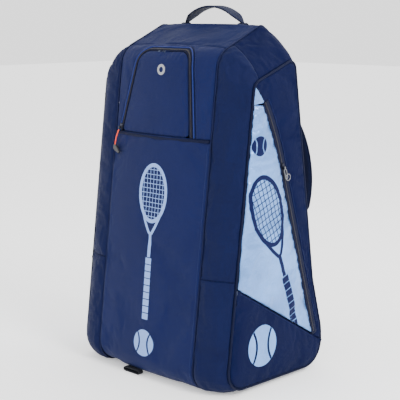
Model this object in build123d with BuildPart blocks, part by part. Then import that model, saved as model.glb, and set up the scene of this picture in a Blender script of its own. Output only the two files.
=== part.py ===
"""Racket tournament bag: a tall soft bag with a front flap, two side doors, a top handle and shoulder straps.

Millimetres. +X is the bag's right as seen from the front, +Y is its back, +Z is up; z = 0 is the floor.
"""

from build123d import *
import math
import os

os.makedirs("parts", exist_ok=True)

# ---- driving dimensions ----
BAND_HALF = 150.0  # half the width of the centre band, out to the front seams
SIDE_HALF = 228.0  # half the width between the two side seams
WALL = 4.0  # padded fabric wall of the body
PLATE = 4.0  # padded side panels
DOOR_THICK = 5.0  # the doors carry more padding
SEAM = 3.0  # width of the piping strip sewn into each seam
PROUD = 2.0  # how far the piping stands out of a seam
GAP = 0.8  # free gap between a moving panel and what it closes against
SPAN = 300.0  # half of a length that reaches past the whole bag

# Side outlines as (y, z) corners with their corner radii: floor front, brow, ridge, waist, hip, floor back.
FRONT_SEAM = ([(-186, 0), (-100, 722), (50, 789), (128, 215), (162, 95), (167, 0)], [50, 50, 20, 80, 80, 50])
MIDDLE = ([(-190, 0), (-118, 722), (50, 789), (128, 215), (162, 95), (167, 0)], [52, 50, 20, 80, 80, 50])
GUSSET = ([(-181, 4.5), (-95, 700), (52, 756), (128, 215), (162, 95), (166.5, 4)], [48, 38, 20, 80, 80, 52])
SIDE_SEAM = ([(-158, 12), (-76, 664), (54, 712), (128, 215), (162, 95), (166, 8)], [45, 25, 18, 80, 80, 55])

# Where one panel ends and the next begins, on the outline.
BASE_FRONT = -118.0
BASE_BACK = 110.0
FOLD_Z = 543.0  # the fold that the front flap hangs from
BROW_Y = -74.0
SHOULDER_Y = -60.0
CROWN_Z = 760.0
SHOULDER_Z = 688.0
CROSS_SEAM_Z = 250.0

# Front flap: a trapezium with rounded top corners, as (x, z).
MOUTH = [(-135, FOLD_Z), (-80, 734), (86, 734), (109, FOLD_Z)]
FLAP = [(-122.5, FOLD_Z + GAP), (-74, 724), (72, 724), (91, FOLD_Z + GAP)]
MOUTH_RADII = [0.0, 38.0, 38.0, 0.0]
FLAP_RADII = [9.0, 30.0, 30.0, 9.0]
FLAP_GAP = 1.6  # between the flap's edge and its zip tape, so that the flap swings clear
EYELET = (1.0, 685.0)  # centre of the vent eyelet, as (x, z)

# Side zip: a straight run up from its foot, then an arc towards the apex, as (y, z).
ZIP_FOOT = (137.0, 78.0)
ZIP_BEND = (12.0, 488.0)
ZIP_RADIUS = 690.0
ZIP_SWEEP = 12.2
ZIP_START = 12.0  # the tape starts this far up from the foot
TAPE_FRONT = -6.0  # the tape's edges, across the zip's line, + to the rear
TAPE_REAR = 10.0
DOOR_EDGE = TAPE_FRONT - 1.5
DOOR_CORNER = (-126.0, 234.0)  # the door's lower front corner
DOOR_TOP = 617.0
SIDE_INSET = 3.5  # the side panels stop this far inside the side seam

# Handle and shoulder straps.
HANDLE_Y = 46.0
HANDLE_FOOT = (88.0, 784.5)  # half span and height of the fold line
HANDLE_PEAK = 822.0
STRAP_TOP = Vector(75, 84, 650)
STRAP_FOOT = Vector(175, 165, 130)
WEB = 12.5  # half width of the strap webbing
PAD_OUTSIDE = [(40, 60), (140, 115), (330, 58)]  # the pad's outer face, seen from the side: along and out
PAD_INSIDE = [(325, 50), (140, 102), (46, 53)]


def save(part, name):
    """Names one finished piece and writes it."""
    part.label = name
    export_step(part, f"parts/{name}.step")


def save_pair(part, name):
    """Writes the right-hand piece and its mirror image for the left."""
    save(part, f"right_{name}")
    with BuildPart() as twin:
        mirror(part, about=Plane.YZ)
    save(twin.part, f"left_{name}")


def save_both(part, name):
    """Writes the right-hand piece and its mirror image as one node of two solids."""
    with BuildPart() as both:
        add(part)
        mirror(part, about=Plane.YZ)
    save(both.part, name)


def unit(a, b):
    length = math.dist(a, b)
    return (b[0] - a[0]) / length, (b[1] - a[1]) / length


def inset(outline, depth):
    """An outline moved inwards by depth, each corner along its bisector."""
    corners, radii = outline
    moved, new_radii = [], []
    for i, corner in enumerate(corners):
        u = unit(corners[i - 1], corner)
        v = unit(corner, corners[(i + 1) % len(corners)])
        share = depth / (1 + u[0] * v[0] + u[1] * v[1])
        moved.append((corner[0] + (u[1] + v[1]) * share, corner[1] - (u[0] + v[0]) * share))
        outward = u[0] * v[1] - u[1] * v[0] < 0
        new_radii.append(radii[i] - depth if outward else radii[i] + depth)
    return moved, new_radii


def section(x, outline, depth=0.0):
    """The face inside an outline, standing at x."""
    corners, radii = inset(outline, depth)
    with BuildSketch(Plane.YZ.offset(x)) as face:
        with BuildLine():
            FilletPolyline(*corners, radius=radii, close=True)
        make_face()
    return face.sketch


def solid(stations, depth=0.0):
    """A solid through the outlines at the given x stations."""
    with BuildPart() as body:
        loft(sections=[section(x, outline, depth) for x, outline in stations])
    return body.part


def skin(stations):
    """The fabric wall around such a solid, open at both ends."""
    with BuildPart() as wall:
        add(solid(stations))
        add(solid(stations, WALL), mode=Mode.SUBTRACT)
    return wall.part


def cut_out(whole, corners):
    """The part of a wall that lies inside a (y, z) polygon."""
    with BuildPart() as piece:
        add(whole)
        with BuildSketch(Plane.YZ.offset(-SPAN)):
            Polygon(*corners, align=None)
        extrude(amount=2 * SPAN, mode=Mode.INTERSECT)
    return piece.part


def front_prism(corners, radii):
    """A block behind a rounded outline on the front, as (x, z)."""
    with BuildPart() as block:
        with BuildSketch(Plane.XZ.offset(SPAN)):
            with BuildLine():
                FilletPolyline(*corners, radius=radii, close=True)
            make_face()
        extrude(amount=-SPAN + 60)
    return block.part


# ---- centre band: front, brow, top, back and base ----
EDGE = BAND_HALF - SEAM / 2
BAND = [(-EDGE, FRONT_SEAM), (0, MIDDLE), (EDGE, FRONT_SEAM)]
band = skin(BAND)

base_middle = (BASE_FRONT + BASE_BACK) / 2
with BuildPart() as base_panel:
    with Locations((0, base_middle, WALL / 2)):
        Box(2 * EDGE, BASE_BACK - BASE_FRONT, WALL)
save(base_panel.part, "base_panel")

front_zone = [(-SPAN, -9), (BASE_FRONT, -9), (BASE_FRONT, 60), (-60, FOLD_Z), (-SPAN, FOLD_Z)]
save(cut_out(band, front_zone), "front_panel")

brow_zone = [(-SPAN, FOLD_Z), (BROW_Y, FOLD_Z), (BROW_Y, 900), (-SPAN, 900)]
upper_front = cut_out(band, brow_zone)

with BuildPart() as upper_front_panel:
    add(upper_front)
    add(front_prism(MOUTH, MOUTH_RADII), mode=Mode.SUBTRACT)
save(upper_front_panel.part, "upper_front_panel")

flap_clear = [(x + math.copysign(FLAP_GAP, x), z + (GAP if z > FOLD_Z + 1 else -GAP)) for x, z in FLAP]
with BuildPart() as front_zip_tape:
    add(upper_front)
    add(front_prism(MOUTH, MOUTH_RADII), mode=Mode.INTERSECT)
    add(front_prism(flap_clear, [0.0, *FLAP_RADII[1:3], 0.0]), mode=Mode.SUBTRACT)
save(front_zip_tape.part, "front_zip_tape")

top_zone = [(BROW_Y, 600), (30, CROWN_Z), (SPAN, CROWN_Z), (SPAN, 900), (BROW_Y, 900)]
save(cut_out(band, top_zone), "top_panel")

back_zone = [(BASE_BACK, -9), (SPAN, -9), (SPAN, CROWN_Z), (30, CROWN_Z), (30, 600), (BASE_BACK, 150)]
save(cut_out(band, back_zone), "back_panel")

# Stiff board that keeps the base flat.
BOARD = 3.0
with BuildPart() as base_board:
    with BuildSketch(Plane.XY.offset(WALL)):
        with Locations((0, base_middle)):
            RectangleRounded(2 * EDGE - 12, BASE_BACK - BASE_FRONT, 12)
    extrude(amount=BOARD)
save(base_board.part, "base_board")

# ---- gussets: the band between each front seam and its side seam ----
RIM = BAND_HALF + SEAM / 2
gusset = skin([(RIM, FRONT_SEAM), (190, GUSSET), (SIDE_HALF, SIDE_SEAM)])
base_zone = [(BASE_FRONT, -9), (BASE_BACK, -9), (BASE_BACK, 30), (BASE_FRONT, 30)]
save_both(cut_out(gusset, base_zone), "gusset_bases")
lower_zone = [(-SPAN, -9), (BASE_FRONT, -9), (BASE_FRONT, 60), (-70, CROSS_SEAM_Z), (-SPAN, CROSS_SEAM_Z)]
save_pair(cut_out(gusset, lower_zone), "gusset_lower")
upper_zone = [(-SPAN, CROSS_SEAM_Z), (SHOULDER_Y, CROSS_SEAM_Z), (SHOULDER_Y, 900), (-SPAN, 900)]
save_pair(cut_out(gusset, upper_zone), "gusset_upper")
shoulder_zone = [(SHOULDER_Y, 600), (30, SHOULDER_Z), (SPAN, SHOULDER_Z), (SPAN, 900), (SHOULDER_Y, 900)]
save_pair(cut_out(gusset, shoulder_zone), "shoulder")
rear_zone = [(BASE_BACK, -9), (SPAN, -9), (SPAN, SHOULDER_Z), (30, SHOULDER_Z), (30, 600), (BASE_BACK, 150)]
save_pair(cut_out(gusset, rear_zone), "gusset_back")


def ring(outline, x, thickness, outer, inner):
    """A flat strip along an outline: outer is how far it stands out, inner how far it reaches in."""
    with BuildPart() as strip:
        extrude(section(x, outline, -outer), amount=thickness)
        extrude(section(x, outline, inner), amount=thickness, mode=Mode.SUBTRACT)
        with Locations((0, 0, -50)):
            Box(2 * SPAN, 2 * SPAN, 100, mode=Mode.SUBTRACT)
    return strip.part


save_both(ring(FRONT_SEAM, EDGE, SEAM, PROUD, WALL), "front_piping")
save_both(ring(SIDE_SEAM, SIDE_HALF, PLATE, PROUD, SIDE_INSET), "side_piping")

# Dividers hang in the front seams, between the centre and the side compartments.
with BuildPart() as divider:
    extrude(section(EDGE, FRONT_SEAM, WALL), amount=SEAM)
save_pair(divider.part, "divider")

# ---- side panels, on the plane of the side seam ----
zip_along = unit(ZIP_FOOT, ZIP_BEND)
zip_across = (zip_along[1], -zip_along[0])  # towards the rear
ARC_CENTRE = (ZIP_BEND[0] - ZIP_RADIUS * zip_across[0], ZIP_BEND[1] - ZIP_RADIUS * zip_across[1])
ARC_START = math.degrees(math.atan2(zip_across[1], zip_across[0]))


def zip_point(along, shift):
    """A point on the straight run, along mm above the foot and shift mm to the rear of its line."""
    return tuple(ZIP_FOOT[k] + along * zip_along[k] + shift * zip_across[k] for k in range(2))


def arc_end(shift):
    angle = math.radians(ARC_START + ZIP_SWEEP)
    radius = ZIP_RADIUS + shift
    return ARC_CENTRE[0] + radius * math.cos(angle), ARC_CENTRE[1] + radius * math.sin(angle)


def zip_edge(start, shift):
    """The zip's line moved across by shift: straight run, then arc."""
    Line(zip_point(start, shift), zip_point(math.dist(ZIP_FOOT, ZIP_BEND), shift))
    CenterArc(ARC_CENTRE, ZIP_RADIUS + shift, ARC_START, ZIP_SWEEP)


def diagonal_z(y):
    """Height of the door's lower edge."""
    share = (y - DOOR_CORNER[0]) / (ZIP_FOOT[0] - DOOR_CORNER[0])
    return DOOR_CORNER[1] + share * (ZIP_FOOT[1] - DOOR_CORNER[1])


with BuildPart() as zip_tape:
    with BuildSketch(Plane.YZ.offset(SIDE_HALF)):
        with BuildLine():
            zip_edge(ZIP_START, TAPE_FRONT)
            zip_edge(ZIP_START, TAPE_REAR)
            Line(zip_point(ZIP_START, TAPE_FRONT), zip_point(ZIP_START, TAPE_REAR))
            Line(arc_end(TAPE_FRONT), arc_end(TAPE_REAR))
        make_face()
    extrude(amount=PLATE)
save_pair(zip_tape.part, "zip_tape")

below_diagonal = [(-SPAN, -2 * SPAN), (SPAN, -2 * SPAN), (SPAN, diagonal_z(SPAN)), (-SPAN, diagonal_z(-SPAN))]
with BuildPart() as lower_side_panel:
    with BuildSketch(Plane.YZ.offset(SIDE_HALF)):
        Polygon(*below_diagonal, align=None)
    extrude(amount=PLATE)
    extrude(section(SIDE_HALF, SIDE_SEAM, SIDE_INSET), amount=PLATE, mode=Mode.INTERSECT)
save_pair(lower_side_panel.part, "lower_side_panel")

with BuildPart() as rear_side_panel:
    extrude(section(SIDE_HALF, SIDE_SEAM, SIDE_INSET), amount=PLATE)
    with BuildSketch(Plane.YZ.offset(SIDE_HALF)):
        Polygon(*below_diagonal, align=None)
    extrude(amount=PLATE, mode=Mode.SUBTRACT)
    with BuildSketch(Plane.YZ.offset(SIDE_HALF)):
        with BuildLine():
            zip_edge(0, TAPE_FRONT)
            Polyline(
                arc_end(TAPE_FRONT),
                (-SPAN, arc_end(TAPE_FRONT)[1]),
                (-SPAN, -9),
                (zip_point(0, TAPE_FRONT)[0], -9),
                zip_point(0, TAPE_FRONT),
            )
        make_face()
    extrude(amount=PLATE, mode=Mode.SUBTRACT)
    add(zip_tape.part, mode=Mode.SUBTRACT)
save_pair(rear_side_panel.part, "rear_side_panel")

# Door: hinged along its front edge, which follows the side seam.
DOOR_FACE = SIDE_HALF + 0.3
seam_up = unit(SIDE_SEAM[0][0], SIDE_SEAM[0][1])


def door_front_y(z):
    """The door's front edge at a height: it runs beside the side seam."""
    return DOOR_CORNER[0] + (z - DOOR_CORNER[1]) * seam_up[0] / seam_up[1]


with BuildPart() as door:
    with BuildSketch(Plane.YZ.offset(DOOR_FACE)):
        with BuildLine():
            zip_edge(-SPAN, DOOR_EDGE)
            Polyline(
                arc_end(DOOR_EDGE),
                (door_front_y(arc_end(DOOR_EDGE)[1]), arc_end(DOOR_EDGE)[1]),
                (door_front_y(-SPAN), -SPAN),
                zip_point(-SPAN, DOOR_EDGE),
            )
        make_face()
        Polygon(*[(y, z + 1.5) for y, z in below_diagonal], align=None, mode=Mode.SUBTRACT)
        with Locations((0, DOOR_TOP + SPAN)):
            Rectangle(2 * SPAN, 2 * SPAN, mode=Mode.SUBTRACT)
    extrude(amount=DOOR_THICK)
save_pair(door.part, "door")

# Webbing grab tab with a metal end, sewn to the door beside the parked slider.
TAB_PLANE = Plane(origin=(DOOR_FACE + DOOR_THICK, -7, 475), x_dir=(0, 0.85, 0.53), z_dir=(1, 0, 0))
with BuildPart() as door_tab:
    with BuildSketch(TAB_PLANE):
        RectangleRounded(20, 10, 1)
    extrude(amount=2)
save_pair(door_tab.part, "door_tab")
with BuildPart() as door_tab_bar:
    with BuildSketch(TAB_PLANE):
        with Locations((-12, 0)):
            RectangleRounded(4, 13, 1.2)
    extrude(amount=3)
save_pair(door_tab_bar.part, "door_tab_bar")

# ---- front flap with its vent eyelet ----
with BuildPart() as front_flap:
    add(upper_front)
    add(front_prism(FLAP, FLAP_RADII), mode=Mode.INTERSECT)


def front_y(x, z):
    """The bulged front surface: straight between floor and brow, arched across."""
    seam, middle = (a[0][0][0] + z * (a[0][1][0] - a[0][0][0]) / a[0][1][1] for a in (FRONT_SEAM, MIDDLE))
    return middle + (seam - middle) * (x / EDGE) ** 2


def front_plane(x, z, up=(0, 0, 1)):
    """A plane on the front surface with its z out of the bag."""
    step = 1.0
    slope_x = (front_y(x + step, z) - front_y(x - step, z)) / (2 * step)
    slope_z = (front_y(x, z + step) - front_y(x, z - step)) / (2 * step)
    return Plane(origin=(x, front_y(x, z), z), x_dir=up, z_dir=(slope_x, -1, slope_z))


EYELET_OUTER = 12.0
EYELET_HOLE = 6.0
BARREL = 7.2
FLANGE = 1.2
eyelet_plane = front_plane(*EYELET)
with BuildPart() as flap:
    add(front_flap.part)
    with BuildSketch(eyelet_plane.offset(-3 * WALL)):
        Circle(BARREL)
    extrude(amount=6 * WALL, mode=Mode.SUBTRACT)
save(flap.part, "front_flap")

with BuildPart() as vent_eyelet:
    with BuildSketch(eyelet_plane.offset(0.15)):
        Circle(EYELET_OUTER)
    extrude(amount=FLANGE)
    with BuildSketch(eyelet_plane.offset(-WALL - 0.6)):
        Circle(BARREL - 0.02)
    extrude(amount=WALL + 1)
    with BuildSketch(eyelet_plane.offset(-3 * WALL)):
        Circle(EYELET_HOLE)
    extrude(amount=6 * WALL, mode=Mode.SUBTRACT)
    fillet(vent_eyelet.edges().filter_by(GeomType.CIRCLE).sort_by(SortBy.RADIUS)[-1], 0.5)
save(vent_eyelet.part, "vent_eyelet")

with BuildPart() as eyelet_washer:
    with BuildSketch(eyelet_plane.offset(-WALL - 1.8)):
        Circle(EYELET_OUTER)
        Circle(BARREL, mode=Mode.SUBTRACT)
    extrude(amount=1.2)
save(eyelet_washer.part, "eyelet_washer")

# ---- zip sliders and their pulls ----
SLIDER = (13.0, 7.5, 3.0)  # length, width, height
LIFT = 0.6  # the slider clears the tape by this
PIN_R = 0.9
PIN_HEIGHT = LIFT + SLIDER[2] + 2.3
EAR_X = -2.5  # the pull's pin sits a little below the slider's middle
EYE_R = 2.0
EYE_HALF = 1.6


def turned(plane, along, out):
    """The plane of a pull's pin: its z is the pin's axis, across the slider."""
    return Plane(origin=plane.from_local_coords((along, 0, out)), x_dir=plane.x_dir, z_dir=plane.y_dir)


def slider_body(plane):
    """A zip slider: a tapered shell, two ears and the pin that its pull hangs on."""
    ear_gap = 2 * EYE_HALF + 0.6
    with BuildPart() as shell:
        with BuildSketch(plane.offset(LIFT)):
            RectangleRounded(SLIDER[0], SLIDER[1], 2.5)
        extrude(amount=SLIDER[2], taper=14)
        with BuildSketch(plane.offset(LIFT + SLIDER[2] - 0.4)):
            with Locations((EAR_X, ear_gap / 2 + 0.6), (EAR_X, -ear_gap / 2 - 0.6)):
                Rectangle(3.8, 1.2)
        extrude(amount=PIN_HEIGHT - LIFT - SLIDER[2] + 2.0)
        with BuildSketch(turned(plane, EAR_X, PIN_HEIGHT).offset(-ear_gap / 2 - 0.8)):
            Circle(PIN_R)
        extrude(amount=ear_gap + 1.6)
    return shell.part


def pull_eye(plane, shank):
    """The eye that turns on the slider's pin, with a shank that hangs below it."""
    pin = turned(plane, EAR_X, PIN_HEIGHT)
    with BuildPart() as eye:
        with BuildSketch(pin.offset(-EYE_HALF)):
            Circle(EYE_R)
            with Locations((-shank / 2, 0)):
                Rectangle(shank, 2.0)
            Circle(PIN_R + 0.06, mode=Mode.SUBTRACT)
        extrude(amount=2 * EYE_HALF)
    return eye.part


# Front slider, parked at the foot of the flap's left leg.
LEG_FOOT = (-127.0, 553.0)
leg_up = unit(MOUTH[0], MOUTH[1])
leg_top = (LEG_FOOT[0] + 140 * leg_up[0], LEG_FOOT[1] + 140 * leg_up[1])
leg_direction = Vector(leg_top[0], front_y(*leg_top), leg_top[1]) - Vector(
    LEG_FOOT[0], front_y(*LEG_FOOT), LEG_FOOT[1]
)
front_seat = front_plane(*LEG_FOOT, up=leg_direction)
save(slider_body(front_seat), "front_slider")
FRONT_SHANK = 6.0
save(pull_eye(front_seat, FRONT_SHANK), "front_pull_eye")

# Orange pull cord: hangs from the eye in a slack curve. Points are steps in x and z, lying along the front.
CORD_R = 1.4
CORD_STEPS = [(0, 0), (-5, -11), (-8.5, -24), (-9.3, -37)]
cord_start = turned(front_seat, EAR_X, PIN_HEIGHT).from_local_coords((-FRONT_SHANK, 0, 0))
front_lean = (FRONT_SEAM[0][1][0] - FRONT_SEAM[0][0][0]) / FRONT_SEAM[0][1][1]
cord_points = [cord_start + Vector(dx, dz * front_lean, dz) for dx, dz in CORD_STEPS]
runs = [b - a for a, b in zip(cord_points, cord_points[1:])]
cord_radii = [
    0.45 * min(a.length, b.length) / math.tan(math.radians(a.get_angle(b)) / 2) for a, b in zip(runs, runs[1:])
]
print("cord radii", [round(radius, 1) for radius in cord_radii])
with BuildPart() as front_pull_cord:
    with BuildLine() as route:
        FilletPolyline(*cord_points, radius=cord_radii)
    with BuildSketch(Plane(route.line @ 0, z_dir=route.line % 0)):
        Circle(CORD_R)
    sweep()
save(front_pull_cord.part, "front_pull_cord")

# Moulded grip at the cord's end: a slanted tongue.
cord_end = cord_points[-1]
grip_face = front_plane(cord_end.X, cord_end.Z).z_dir
GRIP = [(-4, 2), (3, 2.5), (21, -12.5), (17, -16.5), (2, -11), (-5, -7)]
with BuildPart() as front_pull_grip:
    with BuildSketch(Plane(origin=cord_end, x_dir=(1, 0, 0), z_dir=grip_face).offset(-2)):
        Polygon(*GRIP, align=None)
    extrude(amount=4)
    chamfer(front_pull_grip.edges().group_by(Axis(cord_end, grip_face))[-1], 0.8)
save(front_pull_grip.part, "front_pull_grip")

# Side sliders, parked at the top of the straight run, each with a link and a ring.
PARKED = math.dist(ZIP_FOOT, ZIP_BEND) - 6
side_seat = Plane(
    origin=(SIDE_HALF + PLATE, *zip_point(PARKED, 0)), x_dir=(0, *zip_along), z_dir=(1, 0, 0)
)
save_pair(slider_body(side_seat), "side_slider")
LINK = (24.0, 9.0, 1.6)  # length, width, thickness
LINK_WIRE = 2.0
with BuildPart() as side_pull_link:
    add(pull_eye(side_seat, 4.0))
    with BuildSketch(side_seat.offset(PIN_HEIGHT - LINK[2] / 2)):
        with Locations((EAR_X - 3 - LINK[0] / 2, 0)):
            RectangleRounded(LINK[0], LINK[1], LINK[1] / 2 - 0.1)
            RectangleRounded(LINK[0] - 2 * LINK_WIRE, LINK[1] - 2 * LINK_WIRE, 2.3, mode=Mode.SUBTRACT)
    extrude(amount=LINK[2])
save_pair(side_pull_link.part, "side_pull_link")

RING_R = 7.0
RING_WIRE = 0.9
ring_plane = Plane(
    origin=side_seat.from_local_coords((EAR_X - LINK[0] - 1, -RING_R + 1.5, PIN_HEIGHT)), z_dir=(1, 0, 0)
)
with BuildPart(ring_plane) as side_pull_ring:
    Torus(RING_R, RING_WIRE)
save_pair(side_pull_ring.part, "side_pull_ring")

# ---- top handle and its anchors ----
HANDLE_THICK = 3.0
HANDLE_HALF_WIDTH = 17.0
foot_x, foot_z = HANDLE_FOOT
with BuildPart() as handle_anchor:
    with BuildSketch(Plane.YZ.offset(foot_x - 14)):
        Polygon((34, 779), (HANDLE_Y, foot_z - 0.3), (55.5, 764), (40, 764), align=None)
    extrude(amount=28)
    add(solid(BAND), mode=Mode.SUBTRACT)
save_both(handle_anchor.part, "handle_anchors")

with BuildPart() as top_handle:
    with BuildSketch(Plane.XZ.offset(-HANDLE_Y - HANDLE_HALF_WIDTH)):
        with BuildLine():
            ThreePointArc((-foot_x, foot_z), (0, HANDLE_PEAK), (foot_x, foot_z))
            Line((foot_x, foot_z), (foot_x - HANDLE_THICK, foot_z))
            ThreePointArc(
                (foot_x - HANDLE_THICK, foot_z), (0, HANDLE_PEAK - HANDLE_THICK), (HANDLE_THICK - foot_x, foot_z)
            )
            Line((HANDLE_THICK - foot_x, foot_z), (-foot_x, foot_z))
        make_face()
    extrude(amount=2 * HANDLE_HALF_WIDTH)
    # The webbing narrows to its fold line at both ends.
    with BuildSketch(Plane.YZ.offset(-SPAN)):
        with Locations((HANDLE_Y, foot_z)):
            Polygon((0, 0), (60, 60), (-60, 60), align=None)
    extrude(amount=2 * SPAN, mode=Mode.INTERSECT)
save(top_handle.part, "top_handle")

# ---- shoulder straps: each hangs between a top and a foot anchor and bows out behind the back ----
chord = (STRAP_FOOT - STRAP_TOP).normalized()
chord_length = (STRAP_FOOT - STRAP_TOP).length
strap_out = (Vector(0, 1, 0) - chord * chord.Y).normalized()
STRAP_PLANE = Plane(origin=STRAP_TOP, x_dir=chord, z_dir=chord.cross(strap_out))
PAD_HALF = 30.0
END = 0.3  # the strap's ends turn this far from their anchors

with BuildPart() as strap_pad:
    with BuildSketch(STRAP_PLANE.offset(-PAD_HALF)):
        with BuildLine():
            ThreePointArc(*PAD_OUTSIDE)
            Line(PAD_OUTSIDE[-1], PAD_INSIDE[0])
            ThreePointArc(*PAD_INSIDE)
            Line(PAD_INSIDE[-1], PAD_OUTSIDE[0])
        make_face()
    extrude(amount=2 * PAD_HALF)
    fillet(strap_pad.edges().filter_by(lambda e: e.geom_type == GeomType.LINE and e.length > 50), 3)
save_pair(strap_pad.part, "strap_pad")


def strap_web(start, end, name):
    """A flat stretch of webbing between two points of the strap's side view."""
    with BuildPart() as web:
        with BuildSketch(STRAP_PLANE.offset(-WEB)):
            Polygon(start, end, (end[0], end[1] + 2), (start[0], start[1] + 2), align=None)
        extrude(amount=2 * WEB)
    save_pair(web.part, name)


WEB_ROOT = (318.0, 54.0)  # the lower webbing leaves the pad here
web_down = unit(WEB_ROOT, (chord_length - END, 0))
strap_web((END, -1), (52, 56), "strap_top_web")
strap_web(WEB_ROOT, (chord_length - END, -1), "strap_lower_web")

# Ladder lock at the pad's lower end: a frame that the lower webbing runs through.
LOCK_AT = 32.0  # from the webbing's root
lock_plane = Plane(
    origin=STRAP_PLANE.from_local_coords((WEB_ROOT[0] + LOCK_AT * web_down[0], WEB_ROOT[1] + LOCK_AT * web_down[1] + 1)),
    x_dir=STRAP_PLANE.x_dir * web_down[0] + STRAP_PLANE.y_dir * web_down[1],
    z_dir=STRAP_PLANE.z_dir,
)
with BuildPart() as strap_buckle:
    with BuildSketch(lock_plane.offset(-WEB - 5)):
        RectangleRounded(22, 7, 2)
    extrude(amount=2 * WEB + 10)
    with BuildSketch(lock_plane.offset(-WEB - 0.5)):
        Rectangle(60, 3)
    extrude(amount=2 * WEB + 1, mode=Mode.SUBTRACT)
save_pair(strap_buckle.part, "strap_buckle")

# Metal triangle ring on the pad's outer face, near its top.
with BuildLine(STRAP_PLANE):
    pad_face = ThreePointArc(*PAD_OUTSIDE)
RING_PLACE = 0.22
ring_along = pad_face % RING_PLACE
ring_out = ring_along.cross(STRAP_PLANE.z_dir)
if ring_out.dot(strap_out) < 0:
    ring_out = ring_out * -1
RING_PLANE = Plane(origin=(pad_face @ RING_PLACE) - ring_out * 1.0, x_dir=ring_along, z_dir=ring_out)
with BuildPart() as strap_ring:
    with BuildSketch(RING_PLANE):
        with BuildLine():
            FilletPolyline((-16, -13), (-16, 13), (16, 0), radius=4, close=True)
        make_face()
        offset(amount=-3, mode=Mode.SUBTRACT)
    extrude(amount=3)
save_pair(strap_ring.part, "strap_ring")


def back_y(z):
    """The back's surface above the hip."""
    corners = FRONT_SEAM[0]
    upper, lower = (corners[2], corners[3]) if z > corners[3][1] else (corners[3], corners[4])
    return upper[0] + (upper[1] - z) * (lower[0] - upper[0]) / (upper[1] - lower[1])


def strap_anchor(x, near, far, reach, name):
    """A stitched webbing tab from the back out to the strap's end: near is level with the strap's end."""
    with BuildPart() as anchor:
        with BuildSketch(Plane.YZ.offset(x - WEB)):
            Polygon(
                (back_y(near), near), (back_y(far), far), (back_y(far) + 3, far), (reach, near), align=None
            )
        extrude(amount=2 * WEB)
    save_both(anchor.part, name)


strap_anchor(STRAP_TOP.X, STRAP_TOP.Z + 3, STRAP_TOP.Z + 45, STRAP_TOP.Y, "strap_top_anchors")
strap_anchor(STRAP_FOOT.X, STRAP_FOOT.Z - 4, STRAP_FOOT.Z - 26, STRAP_FOOT.Y, "strap_foot_anchors")

# ---- flat webbing grab loop under the front of the base ----
LOOP_X = -45.0
LOOP_DEPTH = 15.0
with BuildPart() as base_grab_loop:
    with BuildSketch(Plane.XZ.offset(165)):
        with Locations((LOOP_X, 5.2)):
            RectangleRounded(52, 9.8, 4.2)
            RectangleRounded(48, 6.6, 2.6, mode=Mode.SUBTRACT)
    extrude(amount=LOOP_DEPTH)
    add(solid(BAND), mode=Mode.SUBTRACT)
save(base_grab_loop.part, "base_grab_loop")
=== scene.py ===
"""Looks of the racket tournament bag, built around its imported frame."""

import math

import bmesh
import bpy
import numpy as np
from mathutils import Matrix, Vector, noise
from mathutils.bvhtree import BVHTree


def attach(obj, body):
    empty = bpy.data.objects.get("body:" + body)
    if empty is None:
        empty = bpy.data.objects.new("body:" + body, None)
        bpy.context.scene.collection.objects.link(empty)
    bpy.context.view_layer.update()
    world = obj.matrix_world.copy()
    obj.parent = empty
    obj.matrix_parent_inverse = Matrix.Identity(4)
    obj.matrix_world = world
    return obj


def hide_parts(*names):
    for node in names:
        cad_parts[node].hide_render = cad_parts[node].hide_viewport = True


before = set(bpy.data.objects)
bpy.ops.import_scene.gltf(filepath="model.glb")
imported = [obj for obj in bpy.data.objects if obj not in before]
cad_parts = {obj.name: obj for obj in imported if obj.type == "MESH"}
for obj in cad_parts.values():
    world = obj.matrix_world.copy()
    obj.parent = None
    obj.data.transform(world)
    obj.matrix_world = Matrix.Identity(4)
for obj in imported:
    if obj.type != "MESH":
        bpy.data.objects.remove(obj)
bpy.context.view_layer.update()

MM = 0.001
SIDES = (("right", 1.0), ("left", -1.0))

# ---- the body's outlines, in millimetres: (y, z) corners with their corner radii ----
FRONT_SEAM = ([(-186, 0), (-100, 722), (50, 789), (128, 215), (162, 95), (167, 0)], [50, 50, 20, 80, 80, 50])
MIDDLE = ([(-190, 0), (-118, 722), (50, 789), (128, 215), (162, 95), (167, 0)], [52, 50, 20, 80, 80, 50])
GUSSET = ([(-181, 4.5), (-95, 700), (52, 756), (128, 215), (162, 95), (166.5, 4)], [48, 38, 20, 80, 80, 52])
SIDE_SEAM = ([(-158, 12), (-76, 664), (54, 712), (128, 215), (162, 95), (166, 8)], [45, 25, 18, 80, 80, 55])
EDGE = 148.5  # half the centre band's width, inside its seams
RIM = 151.5  # the gussets' inner edge
SIDE_HALF = 228.0  # the gussets' outer edge
FOLD_Z = 543.0  # the fold that the flap hangs from
BASE_FRONT, BASE_BACK = -118.0, 110.0
CROSS_SEAM = 250.0
LEG = 40  # points on each leg of the flap's outline
MOUTH = ([(-135, 543), (-80, 734), (86, 734), (109, 543)], [0, 38, 38, 0])
FLAP = ([(-122.5, 543.8), (-74, 724), (72, 724), (91, 543.8)], [0, 30, 30, 0])
EYELET = (1.0, 685.0)

# The outlines' corners in order are the front foot, brow, ridge, waist, hip and back foot.
FLOOR_FRONT, BROW, RIDGE, HIP, FLOOR_BACK = 0, 1, 2, 4, 5

# Each outline has ARC + 1 points round a corner and RUN points on the straight after it.
ARC, RUN = 8, 20
STEP = ARC + 1 + RUN


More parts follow.
